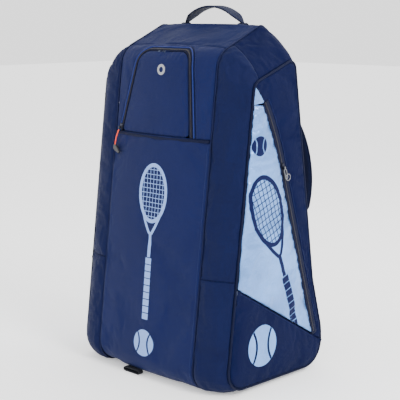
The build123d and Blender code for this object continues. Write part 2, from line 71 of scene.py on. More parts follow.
def corner_arc(a, b, c, radius, count):
    """Points of the fillet at b between a and c."""
    a, b, c = (np.array(p, float) for p in (a, b, c))
    if radius <= 0:
        return [b] * (count + 1)
    u = (a - b) / np.linalg.norm(a - b)
    v = (c - b) / np.linalg.norm(c - b)
    half = math.acos(max(-1, min(1, float(u @ v)))) / 2
    centre = b + (u + v) / np.linalg.norm(u + v) * radius / math.sin(half)
    first, last = b + u * radius / math.tan(half) - centre, b + v * radius / math.tan(half) - centre
    start = math.atan2(first[1], first[0])
    turn = (math.atan2(last[1], last[0]) - start + math.pi) % (2 * math.pi) - math.pi
    angles = [start + turn * k / count for k in range(count + 1)]
    return [centre + radius * np.array([math.cos(t), math.sin(t)]) for t in angles]


def outline_points(outline):
    """The rounded outline as a closed list of points, the same count for every outline."""
    corners, radii = outline
    count = len(corners)
    arcs = [corner_arc(corners[i - 1], corners[i], corners[(i + 1) % count], radii[i], ARC)
            for i in range(count)]
    points = []
    for i in range(count):
        points += arcs[i]
        a, b = arcs[i][-1], arcs[(i + 1) % count][0]
        points += [a + (b - a) * k / (RUN + 1) for k in range(1, RUN + 1)]
    return np.array(points)


SECTIONS = {key: outline_points(value) for key, value in
            dict(seam=FRONT_SEAM, middle=MIDDLE, gusset=GUSSET, side=SIDE_SEAM).items()}
SECTION_CACHE = {}


def section_at(x):
    """The body's outline at x, between the sewn outlines."""
    key = round(abs(x), 2)
    if key not in SECTION_CACHE:
        if key <= 150:
            t = key / EDGE
            found = SECTIONS["middle"] + (SECTIONS["seam"] - SECTIONS["middle"]) * t * t
        else:
            a, b, c = RIM, 190.0, SIDE_HALF
            found = (
                SECTIONS["seam"] * (key - b) * (key - c) / ((a - b) * (a - c))
                + SECTIONS["gusset"] * (key - a) * (key - c) / ((b - a) * (b - c))
                + SECTIONS["side"] * (key - a) * (key - b) / ((c - a) * (c - b))
            )
        SECTION_CACHE[key] = found
    return SECTION_CACHE[key]


def index_at(points, corner, axis, value):
    """The fractional index where the straight after a corner reaches value."""
    low, high = corner * STEP, (corner + 1) * STEP + ARC
    picked = [points[k % len(points)][axis] for k in range(low, high + 1)]
    for k in range(len(picked) - 1):
        a, b = picked[k], picked[k + 1]
        if (a - value) * (b - value) <= 0 and a != b:
            return low + k + (value - a) / (b - a)
    return low if abs(picked[0] - value) < abs(picked[-1] - value) else high


def lengths(points):
    """How far along a polyline each of its points is."""
    return np.concatenate([[0], np.cumsum(np.linalg.norm(np.diff(points, axis=0), axis=1))])


def resample(points, count):
    """count points evenly spaced along a polyline."""
    points = np.array(points, float)
    along = lengths(points)
    wanted = np.linspace(0, along[-1], count)
    return np.stack([np.interp(wanted, along, points[:, k]) for k in range(points.shape[1])], axis=1)


def even(points, step):
    """Points about a step apart along a polyline."""
    points = np.array(points, float)
    return resample(points, max(2, int(round(lengths(points)[-1] / step)) + 1))


def outward_normals(line, inside):
    """Unit normals of a closed outline, away from a point inside it."""
    normals = []
    for k, point in enumerate(line):
        tangent = line[(k + 1) % len(line)] - line[k - 1]
        normal = np.array([tangent[1], -tangent[0]])
        length = np.linalg.norm(normal)
        normal = normal / length if length > 1e-6 else normal * 0
        normals.append(-normal if normal @ (point - inside) < 0 else normal)
    return normals


def stretch(points, first, last, rows):
    """Evenly spaced points along an outline between two fractional indices."""
    if last <= first:
        last += len(points)
    marks = [first] + list(range(math.floor(first) + 1, math.ceil(last))) + [last]
    spots = []
    for mark in marks:
        k = math.floor(mark)
        a, b = points[k % len(points)], points[(k + 1) % len(points)]
        spots.append(a + (b - a) * (mark - k))
    return resample(spots, rows + 1)


def front_y(x, z):
    """The front surface's y at (x, z), from the floor up to the ridge."""
    points = section_at(x)
    part = points[ARC // 2 : RIDGE * STEP]
    return float(np.interp(z, part[:, 1], part[:, 0]))


def front_spot(x, z, lift=0.0):
    """A point on the front at (x, z), raised by lift, and the outward direction there."""
    step = 1.0
    slope_x = (front_y(x + step, z) - front_y(x - step, z)) / (2 * step)
    slope_z = (front_y(x, z + step) - front_y(x, z - step)) / (2 * step)
    out = np.array([slope_x, -1.0, slope_z])
    out /= np.linalg.norm(out)
    return np.array([x, front_y(x, z), z]) + out * lift, out


# ---- materials ----
def linear(*rgb):
    """A screen colour from 0 to 255 as linear light."""
    return [((c / 255 + 0.055) / 1.055) ** 2.4 if c > 10 else c / 255 / 12.92 for c in rgb] + [1.0]


def node(tree, kind, inputs=None, **settings):
    made = tree.nodes.new(kind)
    for key, value in settings.items():
        setattr(made, key, value)
    for key, value in (inputs or {}).items():
        made.inputs[key].default_value = value
    return made


def material(name):
    made = bpy.data.materials.new(name)
    made.use_nodes = True
    tree = made.node_tree
    return made, tree, tree.nodes["Principled BSDF"]


def fabric(name, colour, weave=1100.0, bump=0.25, sheen=0.25, rough=0.75, tone_and_painted_sheen=0.18, specular=0.25,
           rib=None, metallic=0.0, cell=None, folds=0.22):
    """Woven cloth: fine threads both ways, or ribs one way, over slow changes of tone and soft crumples.

    cell adds a pattern of small dimples, and folds is how deep the crumples look. The slow changes of tone are
    random tone on most cloths; on the satin they spread wide as painted highlights and painted shade.
    """
    made, tree, shader = material(name)
    link = tree.links.new
    place = node(tree, "ShaderNodeTexCoord").outputs["Object"]

    def texture(kind, inputs, output="Fac", **settings):
        pattern = node(tree, kind, inputs, **settings)
        link(place, pattern.inputs["Vector"])
        return pattern.outputs[output]

    def mix(blend, factor, first, second):
        mixed = node(tree, "ShaderNodeMix", data_type="RGBA", blend_type=blend)
        for key, value in (("Factor", factor), ("A", first), ("B", second)):
            if isinstance(value, bpy.types.NodeSocket):
                link(value, mixed.inputs[key])
            else:
                mixed.inputs[key].default_value = value
        return mixed.outputs["Result"]

    def combine(operation, first, second):
        both = node(tree, "ShaderNodeMath", operation=operation)
        link(first, both.inputs[0])
        link(second, both.inputs[1])
        return both.outputs[0]

    def relief(strength, distance, height):
        raised = node(tree, "ShaderNodeBump", {"Strength": strength, "Distance": distance})
        link(height, raised.inputs["Height"])
        return raised

    cloud = texture("ShaderNodeTexNoise", {"Scale": 9.0, "Detail": 5.0, "Roughness": 0.6})
    fibre = texture("ShaderNodeTexNoise", {"Scale": 420.0, "Detail": 2.0})
    # The darker and lighter ends of the slow tone: random tone on most cloths, painted highlights and painted shade
    # on the satin.
    dark = [c * (1 - tone_and_painted_sheen) for c in colour[:3]] + [1]
    light = [min(1, c * (1 + tone_and_painted_sheen)) for c in colour[:3]] + [1]
    tone = mix("MIX", cloud, dark, light)
    link(mix("ADD", 0.22, mix("MULTIPLY", 0.35, tone, fibre), tone), shader.inputs["Base Color"])
    threads = [texture("ShaderNodeTexWave", {"Scale": weave, "Distortion": 0.6, "Detail": 1.0},
                       wave_type="BANDS", bands_direction=direction) for direction in (rib or "XZ")]
    woven = combine("MULTIPLY", *threads) if len(threads) > 1 else threads[0]
    layers = [relief(bump, 0.0006, combine("ADD", woven, fibre))]
    if cell:
        comb = texture("ShaderNodeTexVoronoi", {"Scale": cell, "Randomness": 0.15}, "Distance",
                       feature="DISTANCE_TO_EDGE")
        layers.append(relief(0.35, 0.0008, comb))
    crumple = texture("ShaderNodeTexNoise", {"Scale": 17.0, "Detail": 3.0, "Roughness": 0.55, "Distortion": 0.6})
    layers.append(relief(folds, 0.01, crumple))
    for upper, lower in zip(layers, layers[1:]):
        link(lower.outputs["Normal"], upper.inputs["Normal"])
    link(layers[0].outputs["Normal"], shader.inputs["Normal"])
    for key, value in {"Metallic": metallic, "Roughness": rough, "Specular IOR Level": specular,
                       "Sheen Weight": sheen, "Sheen Roughness": 0.45,
                       "Sheen Tint": [0.55, 0.65, 0.95, 1]}.items():
        shader.inputs[key].default_value = value
    return made


def metal(name, colour, rough=0.25, metallic=1.0, scratch=0.12):
    """Plated metal, paint or moulded plastic with a fine grain."""
    made, tree, shader = material(name)
    place = node(tree, "ShaderNodeTexCoord")
    grain = node(tree, "ShaderNodeTexNoise", {"Scale": 600.0, "Detail": 4.0})
    tree.links.new(place.outputs["Object"], grain.inputs["Vector"])
    spread = node(tree, "ShaderNodeMapRange", {"To Min": rough, "To Max": rough + scratch})
    tree.links.new(grain.outputs["Fac"], spread.inputs["Value"])
    tree.links.new(spread.outputs["Result"], shader.inputs["Roughness"])
    relief = node(tree, "ShaderNodeBump", {"Strength": 0.08, "Distance": 0.0003})
    tree.links.new(grain.outputs["Fac"], relief.inputs["Height"])
    tree.links.new(relief.outputs["Normal"], shader.inputs["Normal"])
    shader.inputs["Base Color"].default_value = colour
    shader.inputs["Metallic"].default_value = metallic
    return made


LOOK = {
    # The gusset and side looks are the bag's navy cloth made darker, the side darkest, as painted shade for the
    # faces that turn away from the light.
    "front": fabric("navy_front", linear(10, 19, 59), sheen=0.03, rough=0.6, specular=0.08, cell=340.0),
    "gusset": fabric("navy_gusset_painted_shade", linear(10, 17, 50), sheen=0.02, rough=0.62, specular=0.06, folds=0.4),
    "top": fabric("navy_top", linear(13, 21, 57), sheen=0.02, rough=0.65, specular=0.06),
    "side": fabric("navy_side_painted_shade", linear(7, 13, 45), sheen=0.015, rough=0.65, specular=0.04, folds=0.35),
    # The satin's wide spread of tone is painted highlight and painted shade standing in for its sheen.
    "door": fabric("satin_blue_painted_sheen", linear(100, 141, 202), sheen=0.08, rough=0.34, tone_and_painted_sheen=0.6, specular=0.5,
                   bump=0.12, metallic=0.6, folds=0.7),
    "print_light": fabric("print_light", linear(112, 140, 196), sheen=0.05, rough=0.5, tone_and_painted_sheen=0.05, bump=0.1),
    "print_navy": fabric("print_navy", linear(11, 18, 56), sheen=0.02, rough=0.6, tone_and_painted_sheen=0.05, specular=0.06,
                         bump=0.1),
    "web": fabric("webbing_navy", linear(10, 15, 42), weave=520.0, bump=0.7, sheen=0.05, rough=0.7,
                  specular=0.12, rib="X"),
    "black_web": fabric("webbing_black", linear(20, 21, 26), weave=520.0, bump=0.7, sheen=0.05, rough=0.7,
                        rib="X"),
    "pad": fabric("strap_mesh", linear(11, 17, 46), weave=640.0, bump=0.6, sheen=0.06, rough=0.8,
                  specular=0.12),
    "piping": fabric("piping_navy", linear(7, 12, 38), weave=900.0, bump=0.5, sheen=0.02, rough=0.6,
                     specular=0.08),
    "seam": fabric("seam_navy", linear(9, 16, 50), weave=900.0, bump=0.5, sheen=0.02, rough=0.6,
                   specular=0.1),
    "blue_piping": fabric("piping_blue", linear(17, 33, 92), weave=900.0, bump=0.4, sheen=0.03, rough=0.5,
                          specular=0.15),
    "tape": fabric("zip_tape", linear(8, 13, 40), weave=700.0, bump=0.6, sheen=0.02, rough=0.7, specular=0.1,
                   rib="Z"),
    "thread": fabric("thread", linear(24, 36, 82), weave=900.0, bump=0.3, sheen=0.05, rough=0.6),
    "lining": fabric("lining", linear(58, 66, 84), weave=800.0, bump=0.3, sheen=0.05, rough=0.8),
    "orange": fabric("orange_cord", linear(228, 72, 38), weave=900.0, bump=0.6, sheen=0.1, rough=0.6,
                     tone_and_painted_sheen=0.1),
    "teeth": metal("zip_teeth", linear(44, 42, 46), rough=0.4, metallic=0.5),
    "chrome": metal("plated_metal", [0.2, 0.205, 0.22, 1], rough=0.26),
    "dark_metal": metal("painted_slider", linear(40, 42, 56), rough=0.3, metallic=0.7),
    "plastic": metal("black_plastic", linear(24, 24, 28), rough=0.42, metallic=0.0),
    "board": metal("base_board", linear(60, 62, 66), rough=0.6, metallic=0.0),
}

NODE_LOOKS = {
    "base_board": "board", "vent_eyelet": "chrome", "eyelet_washer": "chrome", "front_slider": "dark_metal",
    "front_pull_eye": "dark_metal", "front_pull_grip": "plastic",
}
for side, _ in SIDES:
    NODE_LOOKS.update({f"{side}_side_slider": "dark_metal", f"{side}_strap_buckle": "plastic"})
    for part in ("side_pull_link", "side_pull_ring", "strap_ring", "door_tab_bar"):
        NODE_LOOKS[f"{side}_{part}"] = "chrome"
for name, look in NODE_LOOKS.items():
    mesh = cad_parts[name].data
    mesh.materials.clear()
    mesh.materials.append(LOOK[look])


# ---- mesh builders ----
def piece(name, vertices, faces, look, body="bag", nodes=(), thick=0.0):
    """A mesh from points in millimetres, riding on a body. thick gives it a wall with a lining inside."""
    mesh = bpy.data.meshes.new(name)
    mesh.from_pydata([tuple(float(c) * MM for c in v) for v in vertices], [], [tuple(f) for f in faces])
    mesh.validate()
    made = bpy.data.objects.new(name, mesh)
    bpy.context.scene.collection.objects.link(made)
    mesh.materials.append(LOOK[look])
    if thick:
        mesh.materials.append(LOOK["lining"])
        wall = made.modifiers.new("wall", "SOLIDIFY")
        wall.thickness = thick * MM
        wall.offset = -1
        wall.material_offset = 1
        wall.material_offset_rim = 0
    mesh.shade_smooth()
    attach(made, body)
    if nodes:
        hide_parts(*nodes)
    return made


def grid_faces(rows, columns, close_rows=False, close_columns=False):
    """Quads of a grid whose points run column by column within each row."""
    faces = []
    for i in range(rows if close_rows else rows - 1):
        for j in range(columns if close_columns else columns - 1):
            a, b = i * columns + j, i * columns + (j + 1) % columns
            k = ((i + 1) % rows) * columns
            faces.append((a, b, k + (j + 1) % columns, k + j))
    return faces


def grid_normals(grid, outward):
    """A grid's unit normals, turned so that the one at its middle looks outward."""
    du = np.gradient(grid, axis=0)
    dv = np.gradient(grid, axis=1)
    normals = np.cross(du, dv)
    normals /= np.maximum(np.linalg.norm(normals, axis=2, keepdims=True), 1e-9)
    middle = normals[grid.shape[0] // 2, grid.shape[1] // 2]
    return -normals if float(middle @ np.array(outward, float)) < 0 else normals


def crease(point, scale, seed):
    """Smooth noise from -1 to 1; scale is a length, or one per axis, in millimetres."""
    sx, sy, sz = scale if isinstance(scale, tuple) else (scale,) * 3
    x, y, z = point
    return noise.noise(Vector((x / sx + seed * 7.3, y / sy - seed * 3.1, z / sz + seed * 1.7)))


def settle(spots, faces, pinned, pressure, grow, frames=16):
    """The points of a sewn panel once its cloth, cut a little large and held at its edges, has settled.

    pressure fills it from inside, and grow is the share by which it is too large.
    """
    mesh = bpy.data.meshes.new("settling")
    mesh.from_pydata([tuple(float(c) * MM for c in v) for v in spots], [], faces)
    panel = bpy.data.objects.new("settling", mesh)
    bpy.context.scene.collection.objects.link(panel)
    held = panel.vertex_groups.new(name="held")
    held.add(pinned, 1.0, "REPLACE")
    cloth = panel.modifiers.new("cloth", "CLOTH")
    rules = cloth.settings
    rules.quality = 4
    rules.mass = 0.2
    rules.tension_stiffness = rules.compression_stiffness = 12
    rules.shear_stiffness = 4
    rules.bending_stiffness = 0.05
    rules.vertex_group_mass = "held"
    rules.shrink_min = -grow
    rules.use_pressure = True
    rules.uniform_pressure_force = pressure
    rules.effector_weights.gravity = 0
    cloth.point_cache.frame_start = 1
    cloth.point_cache.frame_end = frames
    for number in range(1, frames + 1):
        bpy.context.scene.frame_set(number)
    shape = panel.evaluated_get(bpy.context.evaluated_depsgraph_get()).to_mesh()
    flat = np.empty(len(shape.vertices) * 3)
    shape.vertices.foreach_get("co", flat)
    bpy.data.objects.remove(panel)
    bpy.context.scene.frame_set(1)
    return flat.reshape(-1, 3) / MM


PUCKER_REACH = 70  # how far from a seam its puckers run


def soft_grid(name, grid, look, outward, body="bag", nodes=(), slot=None, bulge=0.0, tuck=1.6, pucker=0.8,
              wave=0.9, seed=1, edges=(1, 1, 1, 1), thick=3.0, limit=None, extra=None, cloth=None):
    """A sewn panel: a grid that bulges between its edges, tucks down into its seams, and puckers along them.

    edges says which of first row, last row, first column and last column are seams. limit is how far it may
    rise, extra adds a rise of its own, and cloth holds the pressure and the growth for settle.
    """
    rows, columns = grid.shape[:2]
    normals = grid_normals(grid, outward)
    row_steps = np.linalg.norm(np.diff(grid, axis=0), axis=2)
    column_steps = np.linalg.norm(np.diff(grid, axis=1), axis=2)
    along_rows = np.concatenate([np.zeros((1, columns)), np.cumsum(row_steps, axis=0)])
    along_columns = np.concatenate([np.zeros((rows, 1)), np.cumsum(column_steps, axis=1)], axis=1)
    far = 1e3
    distances = [
        along_rows if edges[0] else np.full((rows, columns), far),
        along_rows[-1] - along_rows if edges[1] else np.full((rows, columns), far),
        along_columns if edges[2] else np.full((rows, columns), far),
        along_columns[:, -1:] - along_columns if edges[3] else np.full((rows, columns), far),
    ]
    spots = []
    for i in range(rows):
        for j in range(columns):
            point = grid[i, j]
            rise = 0.0
            near = min(d[i, j] for d in distances)
            rise += bulge * (1 - math.exp(-near / 28.0)) - tuck * math.exp(-((near / 4.0) ** 2))
            for d, along in zip(distances, (0, 0, 1, 1)):
                gap = d[i, j]
                if gap < PUCKER_REACH:
                    line = (60.0, 11.0, 11.0) if along else (9.0, 9.0, 60.0)
                    depth = pucker * math.exp(-gap / 18.0) * (1 - math.exp(-gap / 3.0)) * 3.2
                    rise += depth * crease(point, line, seed)
            fade = 1 - math.exp(-near / 12.0)
            rise += wave * fade * (crease(point, 95.0, seed + 3) * 1.8
                                   + crease(point, (70.0, 40.0, 26.0), seed + 5) * 1.1
                                   + crease(point, (34.0, 34.0, 11.0), seed + 8) * 0.45)
            if extra:
                rise += extra(point, near)
            if limit is not None and rise > 0:
                rise = limit * math.tanh(rise / limit)
            spots.append(point + normals[i, j] * rise)
    faces = grid_faces(rows, columns)
    if cloth:
        pinned = [i * columns + j for i in range(rows) for j in range(columns)
                  if i in (0, rows - 1) or j in (0, columns - 1)]
        spots = settle(spots, faces, pinned, *cloth)
        flat = grid.reshape(-1, 3)
        upright = normals.reshape(-1, 3)
        rises = np.einsum("ij,ij->i", spots - flat, upright)
        top = limit if limit is not None else 7.0
        eased = np.where(rises > 0, top * np.tanh(rises / top), 4.0 * np.tanh(rises / 4.0))
        spots = spots + upright * (eased - rises)[:, None]
    spots = np.array(spots)
    spots[:, 2] = np.maximum(spots[:, 2], 0.0)  # nothing dips below the floor
    made = piece(name, spots, faces, look, body, nodes, thick=thick)
    fix_normals(made, normals.reshape(-1, 3))
    return made


def fix_normals(made, wanted):
    """Turns the faces so that they look along the wanted directions."""
    mesh = made.data
    face = mesh.polygons[len(mesh.polygons) // 2]
    if Vector(wanted[face.vertices[0]]).dot(face.normal) < 0:
        mesh.flip_normals()


def body_panel(name, low, high, first, last, rows, columns, look, outward, sign=1.0, **more):
    """A panel of the body between two x values and two places on the outline, each (corner, axis, value)."""
    grid = []
    for x in np.linspace(low, high, columns + 1):
        points = section_at(x)
        a, b = (index_at(points, *place) for place in (first, last))
        if b < a:
            a -= len(points)
        line = stretch(points, a, b, rows)
        grid.append(np.column_stack([np.full(len(line), x * sign), line]))
    return soft_grid(name, np.array(grid), look, outward, **more)


def sweep(name, path, widths, outs, shape, look, closed=False, body="bag", nodes=()):
    """A cross-section carried along a path.

    shape is a list of (across, out) points. widths scales them, as one number or as a pair at each point.
    """
    path = np.array(path, float)
    count = len(path)
    spots = []
    for k in range(count):
        before = path[k - 1] if k or closed else path[k]
        after = path[(k + 1) % count] if k < count - 1 or closed else path[k]
        ahead = after - before
        ahead /= np.linalg.norm(ahead)
        if outs is None:
            out = np.cross(ahead, (0, 1, 0))
        else:
            out = np.array(outs[k] if len(np.shape(outs)) > 1 else outs, float)
        out = out - ahead * float(out @ ahead)
        out /= np.linalg.norm(out)
        across = np.cross(ahead, out)
        scale = widths[k] if isinstance(widths, (list, np.ndarray)) else (widths, 1.0)
        spots += [path[k] + across * a * scale[0] + out * b * scale[1] for a, b in shape]
    faces = grid_faces(count, len(shape), close_rows=closed, close_columns=True)
    if not closed:
        faces.append(tuple(reversed(range(len(shape)))))
        faces.append(tuple((count - 1) * len(shape) + j for j in range(len(shape))))
    made = piece(name, spots, faces, look, body, nodes)
    turned = bmesh.new()
    turned.from_mesh(made.data)
    bmesh.ops.recalc_face_normals(turned, faces=turned.faces)
    turned.to_mesh(made.data)
    turned.free()
    made.data.shade_smooth()
    return made


def webbing(name, path, out, half_width, half_thick, body="bag", nodes=()):
    """A strip of woven tape along a path."""
    return sweep(name, path, 1.0, out, rounded_bar(half_width, half_thick), "web", body=body, nodes=nodes)


def circle(radius, count=10, squash=1.0):
    return [(radius * math.cos(2 * math.pi * k / count), radius * squash * math.sin(2 * math.pi * k / count))
            for k in range(count)]


def rounded_bar(half_width, half_thick, count=5):
    """A flat bar's cross-section with round edges."""
    points = []
    for centre, start in ((half_width - half_thick, -90), (-(half_width - half_thick), 90)):
        for k in range(count + 1):
            angle = math.radians(start + 180 * k / count)
            points.append((centre + half_thick * math.cos(angle), half_thick * math.sin(angle)))
    return points


def blocks(name, places, size, look, body="bag"):
    """Many small lozenges in one mesh: each place is (centre, along, out)."""
    spots, faces = [], []
    length, width, height = (s / 2 for s in size)
    ring = [(-1, 0), (-0.6, -1), (0.6, -1), (1, 0), (0.6, 1), (-0.6, 1)]
    for centre, along, out in places:
        along = along / np.linalg.norm(along)
        out = out - along * float(out @ along)
        out /= np.linalg.norm(out)
        across = np.cross(along, out)
        start = len(spots)
        for level, share in ((-1, 1.0), (1, 0.7)):
            spots += [centre + along * a * length * share + across * b * width * share + out * level * height
                      for a, b in ring]
        for k in range(6):
            m = (k + 1) % 6
            faces.append((start + k, start + m, start + 6 + m, start + 6 + k))
        faces.append(tuple(start + 6 + k for k in range(6)))
        faces.append(tuple(start + k for k in reversed(range(6))))
    return piece(name, spots, faces, look, body)


def stitches(name, path, outs, look="thread", body="bag", pitch=4.2, lift=0.25):
    """A line of stitches along a path whose points carry their outward directions."""
    path = np.array(path, float)
    outs = np.array(outs, float)
    joined = even(np.hstack([path, outs]), pitch)
    places = []
    for k in range(len(joined) - 1):
        a, b = joined[k][:3], joined[k + 1][:3]
        out = joined[k][3:] / np.linalg.norm(joined[k][3:])
        places.append(((a + b) / 2 + out * lift, b - a, out))
    return blocks(name, places, (pitch * 0.68, 0.9, 0.6), look, body)


TREES = {}


def seat(base, points, outward, lift):
    """The points moved along outward onto a cloth piece, then raised by lift; also the directions there."""
    if base.name not in TREES:
        mesh = base.data
        TREES[base.name] = BVHTree.FromPolygons([v.co / MM for v in mesh.vertices],
                                                [tuple(p.vertices) for p in mesh.polygons])
    tree = TREES[base.name]
    outward = Vector(outward).normalized()
    spots, normals = [], []
    for point in points:
        spot = Vector(point)
        hit, normal, _, _ = tree.ray_cast(spot + outward * 60, -outward)
        if hit is None:
            hit, normal, _, _ = tree.find_nearest(spot)
        if normal.dot(outward) < 0:
            normal = -normal
        spots.append(np.array(hit + normal * lift))
        normals.append(np.array(normal))
    return np.array(spots), np.array(normals)


def stroke(line, half, outward, closed=False):
    """A grid of points along a drawn line of the given half width."""
    outward = Vector(outward).normalized()
    line = np.array(line, float)
    line = even(np.vstack([line, line[:1]]), 3.0)[:-1] if closed else even(line, 3.0)
    columns = max(1, int(half * 2 / 3.0)) + 1
    rows = []
    for k in range(len(line)):
        before = line[k - 1] if k or closed else line[k]
        after = line[(k + 1) % len(line)] if k < len(line) - 1 or closed else line[k]
        side_way = np.array(Vector(after - before).normalized().cross(outward).normalized())
        rows.append([line[k] + side_way * half * t for t in np.linspace(-1, 1, columns)])
    if closed:
        rows.append(rows[0])
    return np.array(rows)


def decal(name, base, grids, outward, look, body, lift=0.4):
    """Printed shapes laid on a cloth piece, each a grid of points."""
    spots, faces = [], []
    for grid in grids:
        rows, columns = grid.shape[:2]
        start = len(spots)
        placed, _ = seat(base, grid.reshape(-1, 3), outward, lift)
        spots += list(placed)
        faces += [tuple(start + k for k in face) for face in grid_faces(rows, columns)]
    made = piece(name, spots, faces, look, body)
    flip = bmesh.new()
    flip.from_mesh(made.data)
    toward = Vector(outward)
    flip.normal_update()
    for face in flip.faces:
        if face.normal.dot(toward) < 0:
            face.normal_flip()
    flip.to_mesh(made.data)
    flip.free()
    return made


def racket_print(centre, up, right, size, outward, grip, scale=1.0):
    """A racket seen from the front: hoop, strings, throat, shaft and grip.

    size is half the head's width and height. grip holds the shaft's length, the grip's low end, and the
    half widths of both.
    """
    wide, tall = size
    centre, up, right = (np.array(v, float) for v in (centre, up, right))
    place = lambda a, b: centre + right * a * scale + up * b * scale
    hoop = [place(wide * math.sin(t), tall * math.cos(t)) for t in np.linspace(0, 2 * math.pi, 60)[:-1]]
    grids = [stroke(hoop, 4.2 * scale, outward, True)]
    for k in range(-3, 4):
        a = wide * k / 4.0
        b = tall * math.sqrt(max(0.0, 1 - (a / wide) ** 2))
        grids.append(stroke([place(a, -b), place(a, b)], 0.7 * scale, outward))
    for k in range(-5, 6):
        b = tall * k / 6.0
        a = wide * math.sqrt(max(0.0, 1 - (b / tall) ** 2))
        grids.append(stroke([place(-a, b), place(a, b)], 0.7 * scale, outward))
    throat = -tall - 0.70 * wide
    for way in (-1, 1):
        arm = [place(way * wide * 0.66, -tall * 0.78), place(way * wide * 0.34, -tall - 0.28 * wide),
               place(way * 3.2, throat)]
        grids.append(stroke(arm, 3.4 * scale, outward))
    shaft, end, thin, thick = grip
    grids.append(stroke([place(0, throat + 4), place(0, throat - shaft)], thin, outward))
    for k in range(9):
        low, high = (throat - shaft + (end - throat + shaft) * t / 9 for t in (k + 0.12, k + 1))
        grids.append(stroke([place(0, low), place(0, high)], thick, outward))
    return grids


def ball_print(centre, up, right, radius, gap=2.2):
    """A ball as three printed fields, with its two curved seams left open between them."""
    centre, up, right = (np.array(v, float) for v in (centre, up, right))
    grids = []
    heights = radius * np.sin(np.linspace(-math.pi / 2, math.pi / 2, 25))
    for way in (-1, 0, 1):
        rows = []
        for b in heights:
            edge = math.sqrt(max(0.0, radius**2 - b**2))
            seam = radius * 0.40 + 0.42 * b * b / radius
            inside = min(edge, seam - gap)
            first, last = (min(edge, seam + gap), edge) if way else (-inside, inside)
            rows.append([centre + up * b + right * (way or 1) * (first + (last - first) * t)
                         for t in np.linspace(0, 1, 7)])
        grids.append(np.array(rows))
    return grids


def sewn(name, base, line, outward, body="bag"):
    """Stitches laid on a cloth piece along a line."""
    path, outs = seat(base, even(line, 3.0), outward, 0.0)
    return stitches(name, path, outs, body=body)


# ---- centre band ----
CENTRE = dict(low=-EDGE, high=EDGE)
FLAT = dict(tuck=0, pucker=0, wave=0)
FRONT_UP = np.array([0.0, 0.099, 0.995])
FRONT_OUT = (0, -1, 0.1)


def lower_sag(point, near):
    """The front's lower edge is rounder towards its left corner."""
    low = math.exp(-((point[2] / 34.0) ** 2))
    return -low * 7.0 * min(1.0, max(0.0, (-point[0] - 82.0) / 50.0))


body_panel("base_cloth", first=(FLOOR_BACK, 0, BASE_BACK), last=(FLOOR_BACK, 0, BASE_FRONT), rows=24,
           columns=40, look="gusset", outward=(0, 0, -1), nodes=["base_panel"], slot="gusset_fabric", thick=2.0,
           **FLAT, **CENTRE)
front_cloth = body_panel(
    "front_cloth", first=(FLOOR_BACK, 0, BASE_FRONT), last=(FLOOR_FRONT, 1, FOLD_Z), rows=150, columns=84,
    look="front", outward=(0, -1, 0), nodes=["front_panel"], slot="front_fabric", cloth=(0.5, 0.008), bulge=1.2,
    wave=1.1, seed=2, edges=(0, 0, 1, 1), limit=2.2, extra=lower_sag, **CENTRE)
body_panel("top_cloth", first=(BROW, 0, -74.0), last=(RIDGE, 1, 760.0), rows=48, columns=70, look="top",
           outward=(0, 0, 1), nodes=["top_panel"], slot="top_fabric", cloth=(0.5, 0.008), bulge=0.8, wave=0.7,
           seed=4, limit=1.2, **CENTRE)
body_panel("back_cloth", first=(RIDGE, 1, 760.0), last=(FLOOR_BACK, 0, BASE_BACK), rows=150, columns=60,
           look="top", outward=(0, 1, 0), nodes=["back_panel"], slot="top_fabric", cloth=(0.5, 0.008), bulge=0.8,
           wave=0.8, seed=5, limit=1.4, **CENTRE)

for side, sign in SIDES:
    line = [(sign * 143.0, front_y(143.0, z), z) for z in np.linspace(36, 528, 120)]
    sewn(f"{side}_front_stitches", front_cloth, line, FRONT_OUT)
grids = racket_print((1, front_y(0, 416), 416), FRONT_UP, (1, 0, 0), (40, 62), FRONT_OUT, (52, -282, 4.4, 9.0))
decal("front_racket_print", front_cloth, grids, FRONT_OUT, "print_light", "bag")
grids = ball_print((1, front_y(0, 82), 82), FRONT_UP, (1, 0, 0), 30.0)
decal("front_ball_print", front_cloth, grids, FRONT_OUT, "print_light", "bag")


# ---- upper front, round the flap's mouth ----
def ribbon(outline, share, other=None):
    """An outline's points as (x, z), open at the bottom; share moves it towards the other outline."""
    corners = [np.array(c, float) for c in outline[0]]
    radii = list(outline[1])
    if other is not None:
        corners = [a + (np.array(b, float) - a) * share for a, b in zip(corners, other[0])]
        radii = [r + (q - r) * share for r, q in zip(radii, other[1])]
    left, top_left, top_right, right = corners
    points = [left]
    for a, b, c, r in ((left, top_left, top_right, radii[1]), (top_left, top_right, right, radii[2])):
        points += corner_arc(a, b, c, r, 14)
    points.append(right)
    return points


def legs(points):
    """An outline with LEG points on the left leg and the right leg, and half as many on the top."""
    def pick(line, count):
        return line[np.linspace(0, len(line) - 1, count).round().astype(int)]
    left, top, right = (even(part, 1) for part in (points[:2], points[15:17], points[-2:]))
    return np.vstack([pick(left, LEG), np.array(points[2:15]), pick(top, LEG // 2), np.array(points[17:-2]),
                      pick(right, LEG)])


def on_front(points, lift):
    """Points of the front at the given (x, z) points, raised by lift, and the outward directions there."""
    spots, outs = zip(*(front_spot(x, z, lift) for x, z in points))
    return np.array(spots), np.array(outs)


def brow_height(x):
    """The height at x of the seam between the upper front and the top."""
    points = section_at(x)
    k = index_at(points, BROW, 0, -74.0)
    base = int(k)
    return float(points[base][1] + (points[base + 1][1] - points[base][1]) * (k - base))


